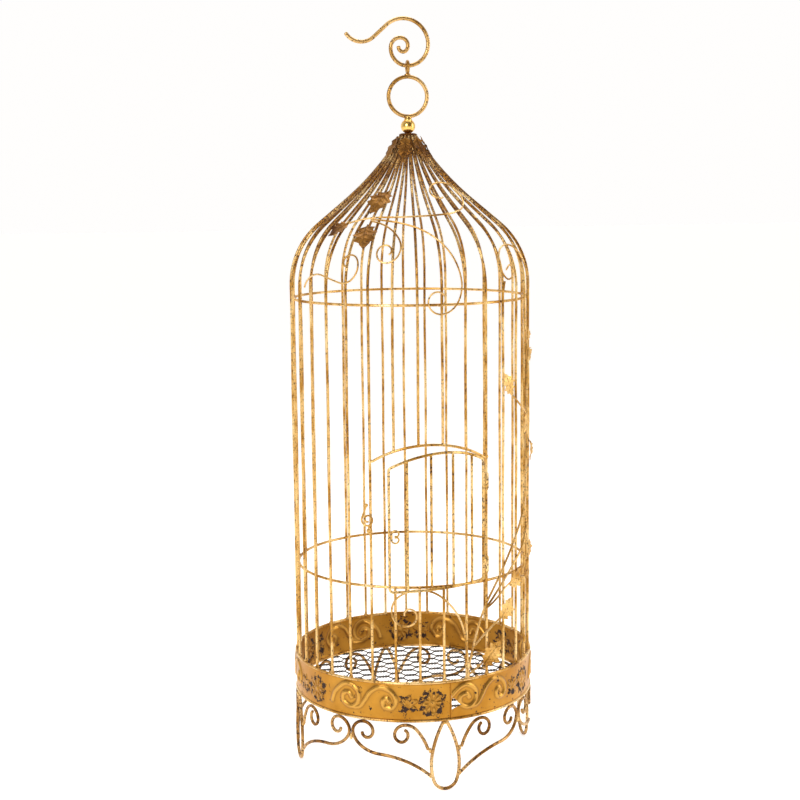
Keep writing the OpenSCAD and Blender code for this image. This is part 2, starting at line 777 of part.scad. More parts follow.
base_band();
band_top_rim();
band_bottom_rim();
floor_netting();
mid_hoop();
dome_hoop();
for (i = [1 : full_bars]) cage_bar(i);
over_door_bars();
sill_bars();
opening_arch();
door_frame();
door_bars();
door_catch();
hinge_sleeves();
latch_stud();
latch();
for (i = [1 : 4]) foot_loop(i);
foot_scrolls();
foot_braces();
sill_scroll();
crown_hub();
finial_ball();
hanging_ring();
ring_eye();
hook();
crown_leaves();
dome_tendrils();
dome_leaves();
side_vine();
vine_leaves();
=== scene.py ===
import json
import math

import bpy
import numpy as np
from mathutils import Matrix, Vector


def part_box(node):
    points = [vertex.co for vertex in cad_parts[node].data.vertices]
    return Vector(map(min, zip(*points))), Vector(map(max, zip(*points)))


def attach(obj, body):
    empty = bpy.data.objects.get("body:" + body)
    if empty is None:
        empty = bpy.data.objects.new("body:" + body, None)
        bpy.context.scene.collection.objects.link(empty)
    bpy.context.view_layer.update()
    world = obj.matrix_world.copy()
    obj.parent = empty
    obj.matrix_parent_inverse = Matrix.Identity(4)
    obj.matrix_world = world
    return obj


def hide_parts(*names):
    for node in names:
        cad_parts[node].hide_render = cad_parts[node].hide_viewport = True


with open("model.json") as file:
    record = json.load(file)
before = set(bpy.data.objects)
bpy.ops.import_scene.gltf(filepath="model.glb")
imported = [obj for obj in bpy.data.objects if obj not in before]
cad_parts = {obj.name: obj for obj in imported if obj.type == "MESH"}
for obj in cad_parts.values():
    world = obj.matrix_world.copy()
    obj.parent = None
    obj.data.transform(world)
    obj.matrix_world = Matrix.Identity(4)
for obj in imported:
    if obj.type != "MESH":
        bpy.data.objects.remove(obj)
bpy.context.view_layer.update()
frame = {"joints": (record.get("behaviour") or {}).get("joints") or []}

# ---- Studio ----
# A pale floor, two large soft boxes, a narrow one for the edges of the wires, and the
# camera a little above the middle of the cage and to the left of its door.

CAMERA_DISTANCE = 2.2265
CAMERA_HEIGHT = 0.8672
CAMERA_AZIMUTH = math.radians(-9.0)
CAMERA_TURN = math.radians(-0.413)
CAMERA_PITCH = math.radians(8.14)
CAMERA_ROLL = math.radians(-0.595)

turntable = Matrix.Rotation(CAMERA_AZIMUTH, 3, "Z")
level = Vector((math.sin(CAMERA_TURN), math.cos(CAMERA_TURN), 0))
level_right = Vector((math.cos(CAMERA_TURN), -math.sin(CAMERA_TURN), 0))
ahead = level * math.cos(CAMERA_PITCH) - Vector((0, 0, math.sin(CAMERA_PITCH)))
level_up = level * math.sin(CAMERA_PITCH) + Vector((0, 0, math.cos(CAMERA_PITCH)))
right = level_right * math.cos(CAMERA_ROLL) + level_up * math.sin(CAMERA_ROLL)
up = level_up * math.cos(CAMERA_ROLL) - level_right * math.sin(CAMERA_ROLL)
camera_data = bpy.data.cameras.new("camera")
camera_data.lens = 66.6
camera_data.sensor_width = 36
camera = bpy.data.objects.new("camera", camera_data)
camera_axes = Matrix([turntable @ right, turntable @ up, turntable @ -ahead]).transposed()
camera_place = turntable @ Vector((0, -CAMERA_DISTANCE, CAMERA_HEIGHT))
camera.matrix_world = Matrix.Translation(camera_place) @ camera_axes.to_4x4()
bpy.context.scene.collection.objects.link(camera)
bpy.context.scene.camera = camera

studio_white = (1.0, 0.99, 0.98)
floor_size = 60.0
floor_mesh = bpy.data.meshes.new("floor")
half = floor_size / 2
floor_corners = [(-half, -half, 0), (half, -half, 0), (half, half, 0), (-half, half, 0)]
floor_mesh.from_pydata(floor_corners, [], [(0, 1, 2, 3)])
floor = bpy.data.objects.new("floor", floor_mesh)
bpy.context.scene.collection.objects.link(floor)


class Signal:
    """One socket's output. Sums on it add Math nodes."""

    def __init__(self, finish, socket):
        self.finish = finish
        self.socket = socket

    def sum(self, operation, first, second):
        return self.finish.node("ShaderNodeMath", {"operation": operation}, {0: first, 1: second})

    def __add__(self, other):
        return self.sum("ADD", self, other)

    def __radd__(self, other):
        return self.sum("ADD", other, self)

    def __sub__(self, other):
        return self.sum("SUBTRACT", self, other)

    def __rsub__(self, other):
        return self.sum("SUBTRACT", other, self)

    def __mul__(self, other):
        return self.sum("MULTIPLY", self, other)

    def __rmul__(self, other):
        return self.sum("MULTIPLY", other, self)


class Finish:
    """The nodes of a material, or of the room. Every node but a sum comes from node()."""

    def __init__(self, name, kind=bpy.data.materials, shader="Principled BSDF"):
        self.material = kind.new(name)
        self.material.use_nodes = True
        self.tree = self.material.node_tree
        self.surface = self.tree.nodes[shader]

    def node(self, kind, settings=None, inputs=None, output=0):
        made = self.tree.nodes.new(kind)
        for key, value in (settings or {}).items():
            if key == "stops":
                ramp = made.color_ramp
                while len(ramp.elements) < len(value):
                    ramp.elements.new(0.5)
                for stop, (position, shade) in zip(ramp.elements, value):
                    stop.position = position
                    stop.color = (*shade, 1) if isinstance(shade, tuple) else (shade,) * 3 + (1,)
            else:
                setattr(made, key, value)
        self.plug(made, inputs or {})
        return Signal(self, made.outputs[output])

    def plug(self, made, inputs):
        for key, value in inputs.items():
            if isinstance(value, Signal):
                self.tree.links.new(value.socket, made.inputs[key])
            elif isinstance(value, tuple) and len(value) == 3 and made.inputs[key].type == "RGBA":
                made.inputs[key].default_value = (*value, 1)
            else:
                made.inputs[key].default_value = value

    def noise(self, scale, detail=3.0, roughness=0.55):
        place = self.node("ShaderNodeTexCoord", output="Object")
        sizes = {"Vector": place, "Scale": scale, "Detail": detail, "Roughness": roughness}
        return self.node("ShaderNodeTexNoise", inputs=sizes)

    def ramp(self, signal, *stops):
        return self.node("ShaderNodeValToRGB", {"stops": stops}, {0: signal})

    def mix(self, factor, first, second):
        inputs = {0: factor, 6: first, 7: second}
        return self.node("ShaderNodeMix", {"data_type": "RGBA"}, inputs, 2)

    def bump(self, height, depth):
        inputs = {"Height": height, "Strength": 0.6, "Distance": depth}
        return self.node("ShaderNodeBump", inputs=inputs)

    def finish(self, **inputs):
        self.plug(self.surface, {key.replace("_", " "): value for key, value in inputs.items()})
        return self.material


floor_paint = Finish("pale_floor").finish(
    Base_Color=(0.93, 0.92, 0.91), Roughness=0.9, Emission_Color=studio_white, Emission_Strength=0.5
)
floor.data.materials.append(floor_paint)

# The room behind the camera is dark, which gives the metal something to reflect. The wall
# behind the cage is seen as plain white from every side.
room = Finish("studio", bpy.data.worlds, "Background")
way = room.node("ShaderNodeTexCoord", output="Generated")
depth = room.node("ShaderNodeSeparateXYZ", inputs={0: way}, output="Y")
wall = room.ramp(depth * 0.5 + 0.5, (0.25, (0.16, 0.13, 0.10)), (0.80, studio_white))
seen = room.node("ShaderNodeLightPath", output="Is Camera Ray")
bpy.context.scene.world = room.finish(Color=room.mix(seen, wall, studio_white), Strength=1.0)
bpy.context.scene.view_settings.view_transform = "Standard"


def soft_box(name, place, aim, size, power):
    """A rectangular lamp that faces the place aim."""
    light = bpy.data.lights.new(name, "AREA")
    light.shape = "RECTANGLE"
    light.size, light.size_y = size
    light.energy = power
    lamp = bpy.data.objects.new(name, light)
    lamp.location = place
    lamp.rotation_euler = (Vector(aim) - Vector(place)).to_track_quat("-Z", "Y").to_euler()
    bpy.context.scene.collection.objects.link(lamp)


cage_middle = (0, 0, 0.5)
soft_box("key", (-1.5, -2.2, 1.9), cage_middle, (0.9, 1.6), 44)
soft_box("side", (2.3, -0.7, 1.3), cage_middle, (0.5, 1.8), 20)
soft_box("top", (0.2, 0.6, 2.6), cage_middle, (1.6, 1.6), 20)


# ---- Bars ----
# Twenty-eight steel wires run from the base rim up the side, over the shoulder of the
# dome and in to the crown. They are bent cold and brazed at the rim, hoops and crown.

mm = 0.001
cage_r = 178 * mm
bar_d = 4 * mm
bar_count = 32
door_spaces = 5
rim_z = 163 * mm
mid_hoop_z = 303 * mm
dome_hoop_z = 706 * mm
shoulder_z = 725 * mm
shoulder_r = 118 * mm
shoulder_turn = math.radians(50)
hollow_r = 420 * mm
hollow_turn = math.radians(17)
crown_r = 12 * mm
short_bar_r = 25 * mm

slope_start_r = cage_r - shoulder_r * (1 - math.cos(shoulder_turn))
slope_start_z = shoulder_z + shoulder_r * math.sin(shoulder_turn)
hollow_run = hollow_r * (math.cos(shoulder_turn - hollow_turn) - math.cos(shoulder_turn))
slope_len = (slope_start_r - crown_r - hollow_run) / math.sin(shoulder_turn)
shoulder_len = shoulder_r * shoulder_turn
hollow_start = shoulder_z + shoulder_len + slope_len
hollow_centre = (
    slope_start_r - slope_len * math.sin(shoulder_turn) + hollow_r * math.cos(shoulder_turn),
    slope_start_z + slope_len * math.cos(shoulder_turn) + hollow_r * math.sin(shoulder_turn),
)
crown_v = hollow_start + hollow_r * hollow_turn
pitch = 360 / bar_count
jamb_a = door_spaces * pitch / 2


def skin(v):
    """Radius, height and inward tilt of the bars' line at distance v up a bar."""
    if v < shoulder_z:
        return cage_r, v, 0.0
    if v < shoulder_z + shoulder_len:
        t = (v - shoulder_z) / shoulder_r
        inward, upward = shoulder_r * (1 - math.cos(t)), shoulder_r * math.sin(t)
        return cage_r - inward, shoulder_z + upward, t
    if v < hollow_start:
        s = v - shoulder_z - shoulder_len
        t = shoulder_turn
        return slope_start_r - s * math.sin(t), slope_start_z + s * math.cos(t), t
    t = shoulder_turn - (v - hollow_start) / hollow_r
    r, z = hollow_centre
    return r - hollow_r * math.cos(t), z - hollow_r * math.sin(t), t


def skin_axes(a, v):
    """The way round, the way up and the way out of the cage's skin at angle a (degrees)."""
    turn, tilt = math.radians(a), skin(v)[2]
    out = np.array([math.sin(turn), -math.cos(turn), 0.0])
    along = np.array([math.cos(turn), math.sin(turn), 0.0])
    rise = np.array([0.0, 0.0, 1.0])
    up_bar = math.cos(tilt) * rise - math.sin(tilt) * out
    return along, up_bar, math.cos(tilt) * out + math.sin(tilt) * rise


def skin_point(a, v, lift=0.0):
    r, z, _ = skin(v)
    turn = math.radians(a)
    return np.array([r * math.sin(turn), -r * math.cos(turn), z]) + lift * skin_axes(a, v)[2]


def tube(path, radius, sides=12, closed=False, ends=True):
    """Round wire along a path: vertices and faces, with domed ends."""
    p = np.asarray(path, float)
    n = len(p)
    way = np.roll(p, -1, 0) - np.roll(p, 1, 0)
    if not closed:
        way[0], way[-1] = p[1] - p[0], p[-1] - p[-2]
    way /= np.linalg.norm(way, axis=1)[:, None]
    side = np.cross(way[0], [0.31, 0.2, 0.93])
    side /= np.linalg.norm(side)
    sides_at = []
    for i in range(n):
        side = side - way[i] * np.dot(side, way[i])
        side /= np.linalg.norm(side)
        sides_at.append(side)
    sides_at = np.array(sides_at)
    across = np.cross(way, sides_at)
    if closed:
        last = sides_at[-1] - way[0] * np.dot(sides_at[-1], way[0])
        twist = math.atan2(np.dot(last, across[0]), np.dot(last, sides_at[0]))
        share = -twist * np.arange(n) / n
        c, s = np.cos(share)[:, None], np.sin(share)[:, None]
        sides_at, across = c * sides_at + s * across, c * across - s * sides_at
    r = np.broadcast_to(np.asarray(radius, float), (n,))
    rows = [(p[i], sides_at[i], across[i], r[i]) for i in range(n)]
    if ends and not closed:
        for d, k in ((0.35, 0.86), (0.52, 0.5)):
            rows.insert(0, (p[0] - way[0] * r[0] * d, sides_at[0], across[0], r[0] * k))
            rows.append((p[-1] + way[-1] * r[-1] * d, sides_at[-1], across[-1], r[-1] * k))
    angle = 2 * math.pi * np.arange(sides) / sides
    vertices = np.concatenate(
        [c + k * (np.cos(angle)[:, None] * u + np.sin(angle)[:, None] * w) for c, u, w, k in rows]
    )
    spans = len(rows) if closed else len(rows) - 1
    i, k = np.meshgrid(np.arange(spans), np.arange(sides), indexing="ij")
    a, b = i * sides, ((i + 1) % len(rows)) * sides
    m = (k + 1) % sides
    faces = np.stack([a + k, a + m, b + m, b + k], -1).reshape(-1, 4).tolist()
    if not closed:
        faces.append(list(range(sides))[::-1])
        faces.append(list(range((len(rows) - 1) * sides, len(rows) * sides)))
    return vertices, faces


def joined(shapes):
    """Several (vertices, faces) as one."""
    vertices, faces, count = [], [], 0
    for v, f in shapes:
        vertices.append(np.asarray(v))
        faces.extend([[count + k for k in face] for face in f])
        count += len(v)
    return np.concatenate(vertices), faces


def piece(name, shape, slot, finish, *nodes, body="cage"):
    """A piece of the cage, which stands for those CAD nodes."""
    mesh = bpy.data.meshes.new(name)
    mesh.from_pydata(shape[0].tolist(), [], shape[1])
    mesh.polygons.foreach_set("use_smooth", [True] * len(mesh.polygons))
    mesh.materials.append(finish)
    obj = bpy.data.objects.new(name, mesh)
    bpy.context.scene.collection.objects.link(obj)
    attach(obj, body)
    if nodes:
        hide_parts(*nodes)
    return obj


def antique_gold(
    name, gold, highlight_cream, bronze, worn=0.5, grain=420.0, roughness=0.30, painted_shade_above=2.0
):
    """Gold paint brushed over dark bronze: bronze specks where worn, cream painted highlights at
    random.
    Above the height painted_shade_above the gold is painted darker brown, a painted shade."""
    f = Finish(name)
    place = f.node("ShaderNodeTexCoord", output="Object")
    height = f.node("ShaderNodeSeparateXYZ", inputs={0: place}, output=2)
    # Painted shade: above painted_shade_above the gold turns darker and browner, standing in for
    # the dark room the dome's wires reflect.
    painted_top_shade = f.ramp(height * 8 - painted_shade_above * 8, (0.0, 0.0), (1.0, 1.0))
    cloud = f.noise(grain * 0.06, 3)
    speck = f.noise(grain, 3, 0.6)
    fine = f.noise(grain * 4, 2)
    # Painted highlights: cream patches scattered by noise over the gold.
    painted_highlight = f.ramp(cloud + fine * 0.15 - painted_top_shade * 0.07, (0.48, 0.0), (0.86, 1.0))
    aged = f.ramp(cloud - painted_top_shade * 0.26, (0.28, 1.0), (0.52, 0.0))
    bare = f.ramp(speck - aged * 0.04 - painted_top_shade * 0.06, (worn - 0.16, 1.0), (worn - 0.08, 0.0))
    red, green, blue = gold
    brown = (0.38 * red, 0.27 * green, 0.16 * blue)
    paint = f.mix(painted_highlight, f.mix(aged * 0.75, gold, brown), highlight_cream)
    return f.finish(
        Base_Color=f.mix(bare * 0.92, paint, bronze),
        Metallic=0.93 - bare * 0.35,
        Roughness=roughness + fine * 0.12 + bare * 0.18,
        Normal=f.bump(fine * 0.3 - bare * 0.5, 0.2 * mm),
    )


# Above the dome hoop, at 0.71 m, the wire's gold carries the painted shade.
wire_gold = antique_gold(
    "antique_gold_wire", (0.70, 0.37, 0.065), (1.0, 0.80, 0.42), (0.060, 0.017, 0.003),
    worn=0.52, painted_shade_above=0.71,
)


def bar_path(a, foot_z, end_r, lift=0.0):
    """Points up a bar, closer together where it bends."""
    slope_end_r = hollow_centre[0] - hollow_r * math.cos(shoulder_turn)
    tilt = math.acos(math.cos(shoulder_turn) + (slope_end_r - end_r) / hollow_r)
    end_v = hollow_start + hollow_r * (shoulder_turn - tilt)
    stops = np.concatenate([
        np.linspace(foot_z, shoulder_z, 16, endpoint=False),
        np.linspace(shoulder_z, shoulder_z + shoulder_len, 14, endpoint=False),
        np.linspace(shoulder_z + shoulder_len, end_v, 12),
    ])
    return [skin_point(a, v, lift) for v in stops]


def hand_bent(path, seed, sway=0.35 * mm):
    """The same path with the slight waviness of wire straightened by hand, its ends kept."""
    p = np.array(path)
    run = np.concatenate([[0], np.cumsum(np.linalg.norm(np.diff(p, axis=0), axis=1))])
    ease = np.sin(math.pi * run / run[-1])
    phase = np.array([seed * 2.4, seed * 1.7 + 1, seed * 3.1 + 2])
    wave = np.sin(run[:, None] * np.array([23.0, 19.0, 0.0]) + phase)
    return p + sway * ease[:, None] * wave * np.array([1, 1, 0])


def bar_end(i):
    """Every other bar stops short of the crown, where there is no room for all."""
    return crown_r if i % 2 == 0 else short_bar_r


full_bars = bar_count - door_spaces + 1
bar_foot_z = rim_z + 2.2 * mm  # on the top of the rim wire
for i in range(1, full_bars + 1):
    a = jamb_a + pitch * (i - 1)
    path = bar_path(a, bar_foot_z, bar_end(i))
    if 1 < i < full_bars:
        path = hand_bent(path, i)
    bar = tube(path, bar_d / 2)
    piece(f"bar_wire_{i:02d}", bar, "antique_gold", wire_gold, f"bar_{i:02d}")


# ---- Rims, hoops and base band ----
# The base is a strip of thin sheet, pressed with running scrolls, rolled into a ring and
# seamed once. A wire is soldered along each edge, and two hoops tie the bars from inside.

rim_r = 180.5 * mm
rim_d = 4 * mm
rim_low_z = 106.5 * mm
hoop_r = 173.9 * mm
rim_gold = antique_gold(
    "antique_gold_rim", (0.66, 0.34, 0.055), (1.0, 0.76, 0.38), (0.08, 0.028, 0.005), 0.52, 360
)


def circle(r, z, count=180):
    angle = 2 * math.pi * np.arange(count) / count
    return np.stack([r * np.sin(angle), -r * np.cos(angle), np.full(count, z)], 1)


for side, z in (("top", rim_z), ("bottom", rim_low_z)):
    rim = tube(circle(rim_r, z), rim_d / 2, closed=True)
    piece(f"{side}_rim_wire", rim, "rim_gold", rim_gold, f"band_{side}_rim")
for node, z in (("mid_hoop", mid_hoop_z), ("dome_hoop", dome_hoop_z)):
    hoop = tube(circle(hoop_r, z), bar_d / 2, closed=True)
    piece(f"{node}_wire", hoop, "antique_gold", wire_gold, node)


def smooth_line(corners, steps=14):
    """A flowing line (a Catmull-Rom spline) through a few corners on a flat sheet."""
    c = np.array([corners[0], *corners, corners[-1]], float)
    points = []
    for p0, p1, p2, p3 in zip(c, c[1:], c[2:], c[3:]):
        for t in np.linspace(0, 1, steps, endpoint=False):
            square = (2 * p0 - 5 * p1 + 4 * p2 - p3) * t**2
            cube = (3 * p1 - p0 - 3 * p2 + p3) * t**3
            points.append(p1 + ((p2 - p0) * t + square + cube) / 2)
    return np.array(points)


band_r = 181 * mm
band_sheet = 0.8 * mm
repeat_mm = 191.8
seam_a = 8.7
first_scroll_a = 16.0
band_mid_z = (rim_z + rim_low_z) / 2
band_half_h = (rim_z - rim_low_z) / 2 / mm
scroll_one = smooth_line([
    (-30, -10), (-23, 6), (-3, 21), (15, 12), (16, -4), (4, -13), (-9, -7), (-9, 4), (0, 7),
    (5, 1),
])
scroll_two = smooth_line([
    (4, -13), (18, -11), (27, 0), (36, 13), (50, 21), (66, 16), (74, 3), (68, -9), (57, -8),
    (55, 1), (61, 5), (64, 0),
])
flower = (127.0, -1.0)
leaf_spray = (90.0, -3.0)
spray_blades = ((20, 17), (75, 15), (130, 15), (-30, 16), (-120, 12), (170, 11))


def nearest(points, x, y):
    """Distance from each (x, y) to a line of points."""
    best = np.full(x.shape, 1e9)
    for px, py in points:
        best = np.minimum(best, (x - px) ** 2 + (y - py) ** 2)
    return np.sqrt(best)


def band_relief(x, y):
    """Height in mm of the pressed pattern at x along one repeat and y over the middle."""
    height = np.zeros_like(x)
    for line in (scroll_one, scroll_two):
        for shift in (-repeat_mm, 0, repeat_mm):
            d = nearest(line + np.array([shift, 0]), x, y)
            ridge, skirt = 2.1 * np.exp(-((d / 2.7) ** 2)), 0.5 * np.exp(-((d / 6.5) ** 2))
            height = np.maximum(height, ridge + skirt)
    for shift in (-repeat_mm, 0):
        fx, fy = x - flower[0] - shift, y - flower[1]
        r, t = np.hypot(fx, fy), np.arctan2(fy, fx)
        petals = 1.3 * np.exp(-((r - 10) / 5.0) ** 2) * (0.55 + 0.45 * np.cos(9 * t)) * (r < 22)
        core = 1.6 * np.exp(-((r / 4.5) ** 2))
        cup = 1.2 * np.exp(-((np.hypot(fx, fy + 4) - 13) / 2.4) ** 2) * (fy < 0)
        height = np.maximum.reduce([height, petals, core, cup])
        lx, ly = x - leaf_spray[0] - shift, y - leaf_spray[1]
        for turn, length in spray_blades:
            c, s = math.cos(math.radians(turn)), math.sin(math.radians(turn))
            u, w = lx * c + ly * s, -lx * s + ly * c
            inside = (u / length - 0.5) ** 2 * 4 + (w / (length * 0.22)) ** 2
            midrib = 1 - 0.5 * np.exp(-((w / 0.6) ** 2))
            height = np.maximum(height, 1.3 * np.clip(1 - inside, 0, 1) ** 0.5 * midrib)
    return height


around, upright = ((1500, 52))
edge = 1.9
hem_fade = 4
turn = seam_a + 360 * np.arange(around + 1) / around
level_y = np.linspace(-band_half_h + edge, band_half_h - edge, upright + 1)
turn_grid, y_grid = np.meshgrid(turn, level_y, indexing="ij")
strip_x = np.mod((turn_grid - first_scroll_a) * math.pi / 180 * band_r / mm, repeat_mm)
relief = band_relief(strip_x, y_grid)
hem = np.clip((band_half_h - edge - np.abs(y_grid)) / hem_fade, 0, 1)
relief *= hem
dent = 0.35 * np.sin(np.radians(turn_grid * 7 + 20)) * np.sin(np.radians(turn_grid * 3)) * hem
# A small hole is torn in the sheet beside its seam.
torn_x = (turn_grid - seam_a) * math.pi / 180 * band_r / mm
torn = (torn_x > 0.3) & (torn_x < 5 + (1.5 - y_grid) * 0.85)
torn &= (y_grid < 1.5) & (y_grid > torn_x * 0.42 - 13.5)
shell = []
for depth in (0.0, band_sheet / mm):
    r = (band_r / mm - 0.3 + relief + dent - depth) * mm
    angle = np.radians(turn_grid)
    sheet = [r * np.sin(angle), -r * np.cos(angle), band_mid_z + y_grid * mm]
    shell.append(np.stack(sheet, -1).reshape(-1, 3))
columns = upright + 1
half_count = (around + 1) * columns
band_faces = []
whole = ~(torn[:-1, :-1] | torn[1:, 1:] | torn[1:, :-1] | torn[:-1, 1:])
for i in range(around):
    for k in range(upright):
        if whole[i, k]:
            a, b = i * columns + k, (i + 1) * columns + k
            band_faces.append((a, b, b + 1, a + 1))
            a, b = a + half_count, b + half_count
            band_faces.append((a, a + 1, b + 1, b))
for i in range(around):
    a, b = i * columns, (i + 1) * columns
    band_faces.append((a, a + half_count, b + half_count, b))
    a, b = a + upright, b + upright
    band_faces.append((a, b, b + half_count, a + half_count))
for i in (0, around):
    for k in range(upright):
        a = i * columns + k
        quad = (a, a + 1, a + 1 + half_count, a + half_count)
        band_faces.append(quad if i == 0 else quad[::-1])

f = Finish("pressed_gold_sheet")
raised = f.node("ShaderNodeAttribute", {"attribute_name": "raised"}, output="Fac")
hollow = f.node("ShaderNodeAttribute", {"attribute_name": "hollow"}, output="Fac")
worn_here = f.node("ShaderNodeAttribute", {"attribute_name": "worn"}, output="Fac")
cloud = f.noise(22, 4)
clump = f.noise(150, 2, 0.5)
speck = f.noise(600, 3, 0.6)
fine = f.noise(1500, 3)
bare = f.ramp(clump * 0.75 + speck * 0.25 - worn_here * 0.17, (0.345, 1.0), (0.36, 0.0))
patchy = f.ramp(cloud, (0.35, 0.0), (0.68, 1.0))
tone = f.mix(patchy, (0.43, 0.185, 0.018), (0.57, 0.275, 0.038))
tone = f.mix(hollow * 0.75, tone, (0.17, 0.060, 0.006))
# Painted highlight: the raised relief is painted lighter along its ridges.
tone = f.mix(raised * 0.35, tone, (0.82, 0.50, 0.13))
band_gold = f.finish(
    Base_Color=f.mix(bare, tone, (0.035, 0.014, 0.006)),
    Metallic=0.90 - bare * 0.5,
    Roughness=0.33 + fine * 0.08 + bare * 0.25,
    Normal=f.bump(fine * 0.25 - bare * 0.8, 0.25 * mm),
)
band_shape = (np.concatenate(shell), band_faces)
band = piece("pressed_band", band_shape, "band_gold", band_gold, "base_band")
slope_x, slope_y = np.gradient(relief)
steep = np.clip(np.hypot(slope_x * 2, slope_y) * 1.6, 0, 1) * (relief < 1.1)


def along_repeat(x):
    """How far each point of the strip lies from x of its own repeat."""
    return np.mod(strip_x - x + repeat_mm / 2, repeat_mm) - repeat_mm / 2


def beside(x, y, spread_x, spread_y):
    """How near each point of the strip is to (x, y) of the repeat, from 0 to 1."""
    return np.exp(-((along_repeat(x) / spread_x) ** 2) - ((y_grid - y) / spread_y) ** 2)


flower_r = np.hypot(along_repeat(flower[0]), y_grid - flower[1])
worn_spots = np.maximum(np.exp(-(((flower_r - 17) / 5) ** 2)), beside(90, -11, 15, 7))
worn_spots = np.maximum(worn_spots, 0.75 * beside(86, 8, 12, 6))
# How high the relief stands, which sets the painted highlight on the ridges.
ridge_highlight_amount = np.clip(relief / 2.2, 0, 1)
for name, values in (("raised", ridge_highlight_amount), ("hollow", steep), ("worn", worn_spots)):
    layer = band.data.attributes.new(name, "FLOAT", "POINT")
    layer.data.foreach_set("value", np.tile(values.reshape(-1), 2).astype(np.float32))

# The two ends of the strip are lapped and spot soldered, with a cover strip outside.
seam_turn, seam_r = math.radians(seam_a - 0.3), band_r + 1.0 * mm
seam_path = [
    (seam_r * math.sin(seam_turn), -seam_r * math.cos(seam_turn), z)
    for z in np.linspace(rim_low_z + 2 * mm, rim_z - 2 * mm, 12)
]
piece("band_seam", tube(seam_path, 0.9 * mm, 8), "band_gold", band_gold)


# ---- Floor ----
# The floor is hexagonal netting of thin galvanised wire, its neighbours twisted together
# in pairs, cut round to fit inside the bottom rim, then painted with the cage.

mesh_w = 25 * mm
net_wire = 1.8 * mm
net_side = mesh_w / math.sqrt(3)
twist_r = 0.62 * net_wire
net_r = 177.5 * mm
net_z = rim_low_z
net_gold = antique_gold(
    "netting_wire", (0.07, 0.04, 0.02), (0.30, 0.20, 0.09), (0.010, 0.007, 0.005), 0.62, 300, 0.45
)


def zigzag(column, hand):
    """One wire of the netting: slanted, twisted with its left or right neighbour, and so on."""
    points = []
    row = mesh_w * math.sqrt(3) / 2
    rows = int(net_r / row) + 2
    for j in range(-rows, rows + 1):
        lean = 0.5 if (j % 2 == 0) == (hand > 0) else -0.5
        x = (column + 0.5 + hand * 0.25 + lean * 0.5) * mesh_w
        for t in np.linspace(0, 1, 9):
            swirl = math.pi * 3 * t + (0 if hand > 0 else math.pi)
            y = j * row + (t - 0.5) * net_side
            across = x + twist_r * math.cos(swirl)
            points.append((y, across, net_z + twist_r * math.sin(swirl)))
    return points


def clipped(points, r):
    """The runs of a netting wire that lie within r of the middle."""
    runs, run = [], []
    for p in points:
        if math.hypot(p[0], p[1]) < r:
            run.append(p)
        elif run:
            runs.append(run)
            run = []
    if run:
        runs.append(run)
    return [run for run in runs if len(run) > 2]


net = []
reach = int(net_r / mesh_w) + 2
for column in range(-reach, reach + 1):
    for hand in (-1, 1):
        for run in clipped(zigzag(column, hand), net_r):
            net.append(tube(run, net_wire / 2, 6))
piece("floor_netting_wire", joined(net), "netting_wire", net_gold, "floor_netting")


# ---- Bars and arch over the door, and the sill bars under it ----
# Four bars are cut for the door. Their upper parts stand on an arched wire brazed between
# the jambs, and short pieces stand between the rim and the middle hoop.

door_rise = 18.5 * mm
door_side_h = 175 * mm
door_rail_z = mid_hoop_z + 6 * mm
opening_half_w = math.radians(jamb_a) * cage_r - bar_d - 0.2 * mm
opening_rise = door_rise + 5 * mm
arch_drop = 2 * mm
opening_arch_r = (opening_half_w**2 + opening_rise**2) / (2 * opening_rise)
opening_crown_z = door_rail_z + door_side_h + opening_rise + bar_d - arch_drop


def opening_z(a):
    """Height of the arch wire at angle a."""
    across_arch = math.radians(abs(a)) * cage_r
    return opening_crown_z - opening_arch_r + math.sqrt(opening_arch_r**2 - across_arch**2)


jamb_reach = jamb_a - 0.4
arch_end_a = jamb_a - 1.3
arch_path = [
    skin_point(a, opening_z(min(abs(a), arch_end_a)))
    for a in np.linspace(-jamb_reach, jamb_reach, 60)
]
arch_wire = tube(arch_path, bar_d / 2)
piece("opening_arch_wire", arch_wire, "antique_gold", wire_gold, "opening_arch")
cut_angles = [-jamb_a + pitch * i for i in range(1, door_spaces)]
over_door = [
    tube(hand_bent(bar_path(a, opening_z(a) + 1.5 * mm, bar_end(i)), i + 40), bar_d / 2)
    for i, a in enumerate(cut_angles, full_bars + 1)
]
piece("over_door_wires", joined(over_door), "antique_gold", wire_gold, "over_door_bars")
sill = [
    tube([skin_point(a, z) for z in np.linspace(bar_foot_z, mid_hoop_z + 1.5 * mm, 8)], bar_d / 2)
    for a in cut_angles
]
piece("sill_wires", joined(sill), "antique_gold", wire_gold, "sill_bars")


# ---- Door ----
# One wire bent to the arched outline and closed, with four upright wires brazed inside.
# It hangs on two rolled sheet sleeves round the right jamb bar and stands a little open.

door_ajar = 19
door_out = 0.6 * mm
door_r = cage_r + door_out
stile_a = jamb_a - math.degrees(9.4 * mm / cage_r)
door_half_w = math.radians(stile_a) * door_r
door_arch_r = (door_half_w**2 + door_rise**2) / (2 * door_rise)
door_corner = 5 * mm
jamb_turn = math.radians(jamb_a)
hinge_line = np.array([cage_r * math.sin(jamb_turn), -cage_r * math.cos(jamb_turn), 0])
door_gold = antique_gold(
    "antique_gold_door", (0.70, 0.39, 0.075), (1.0, 0.80, 0.44), (0.050, 0.016, 0.003), 0.555, 330
)


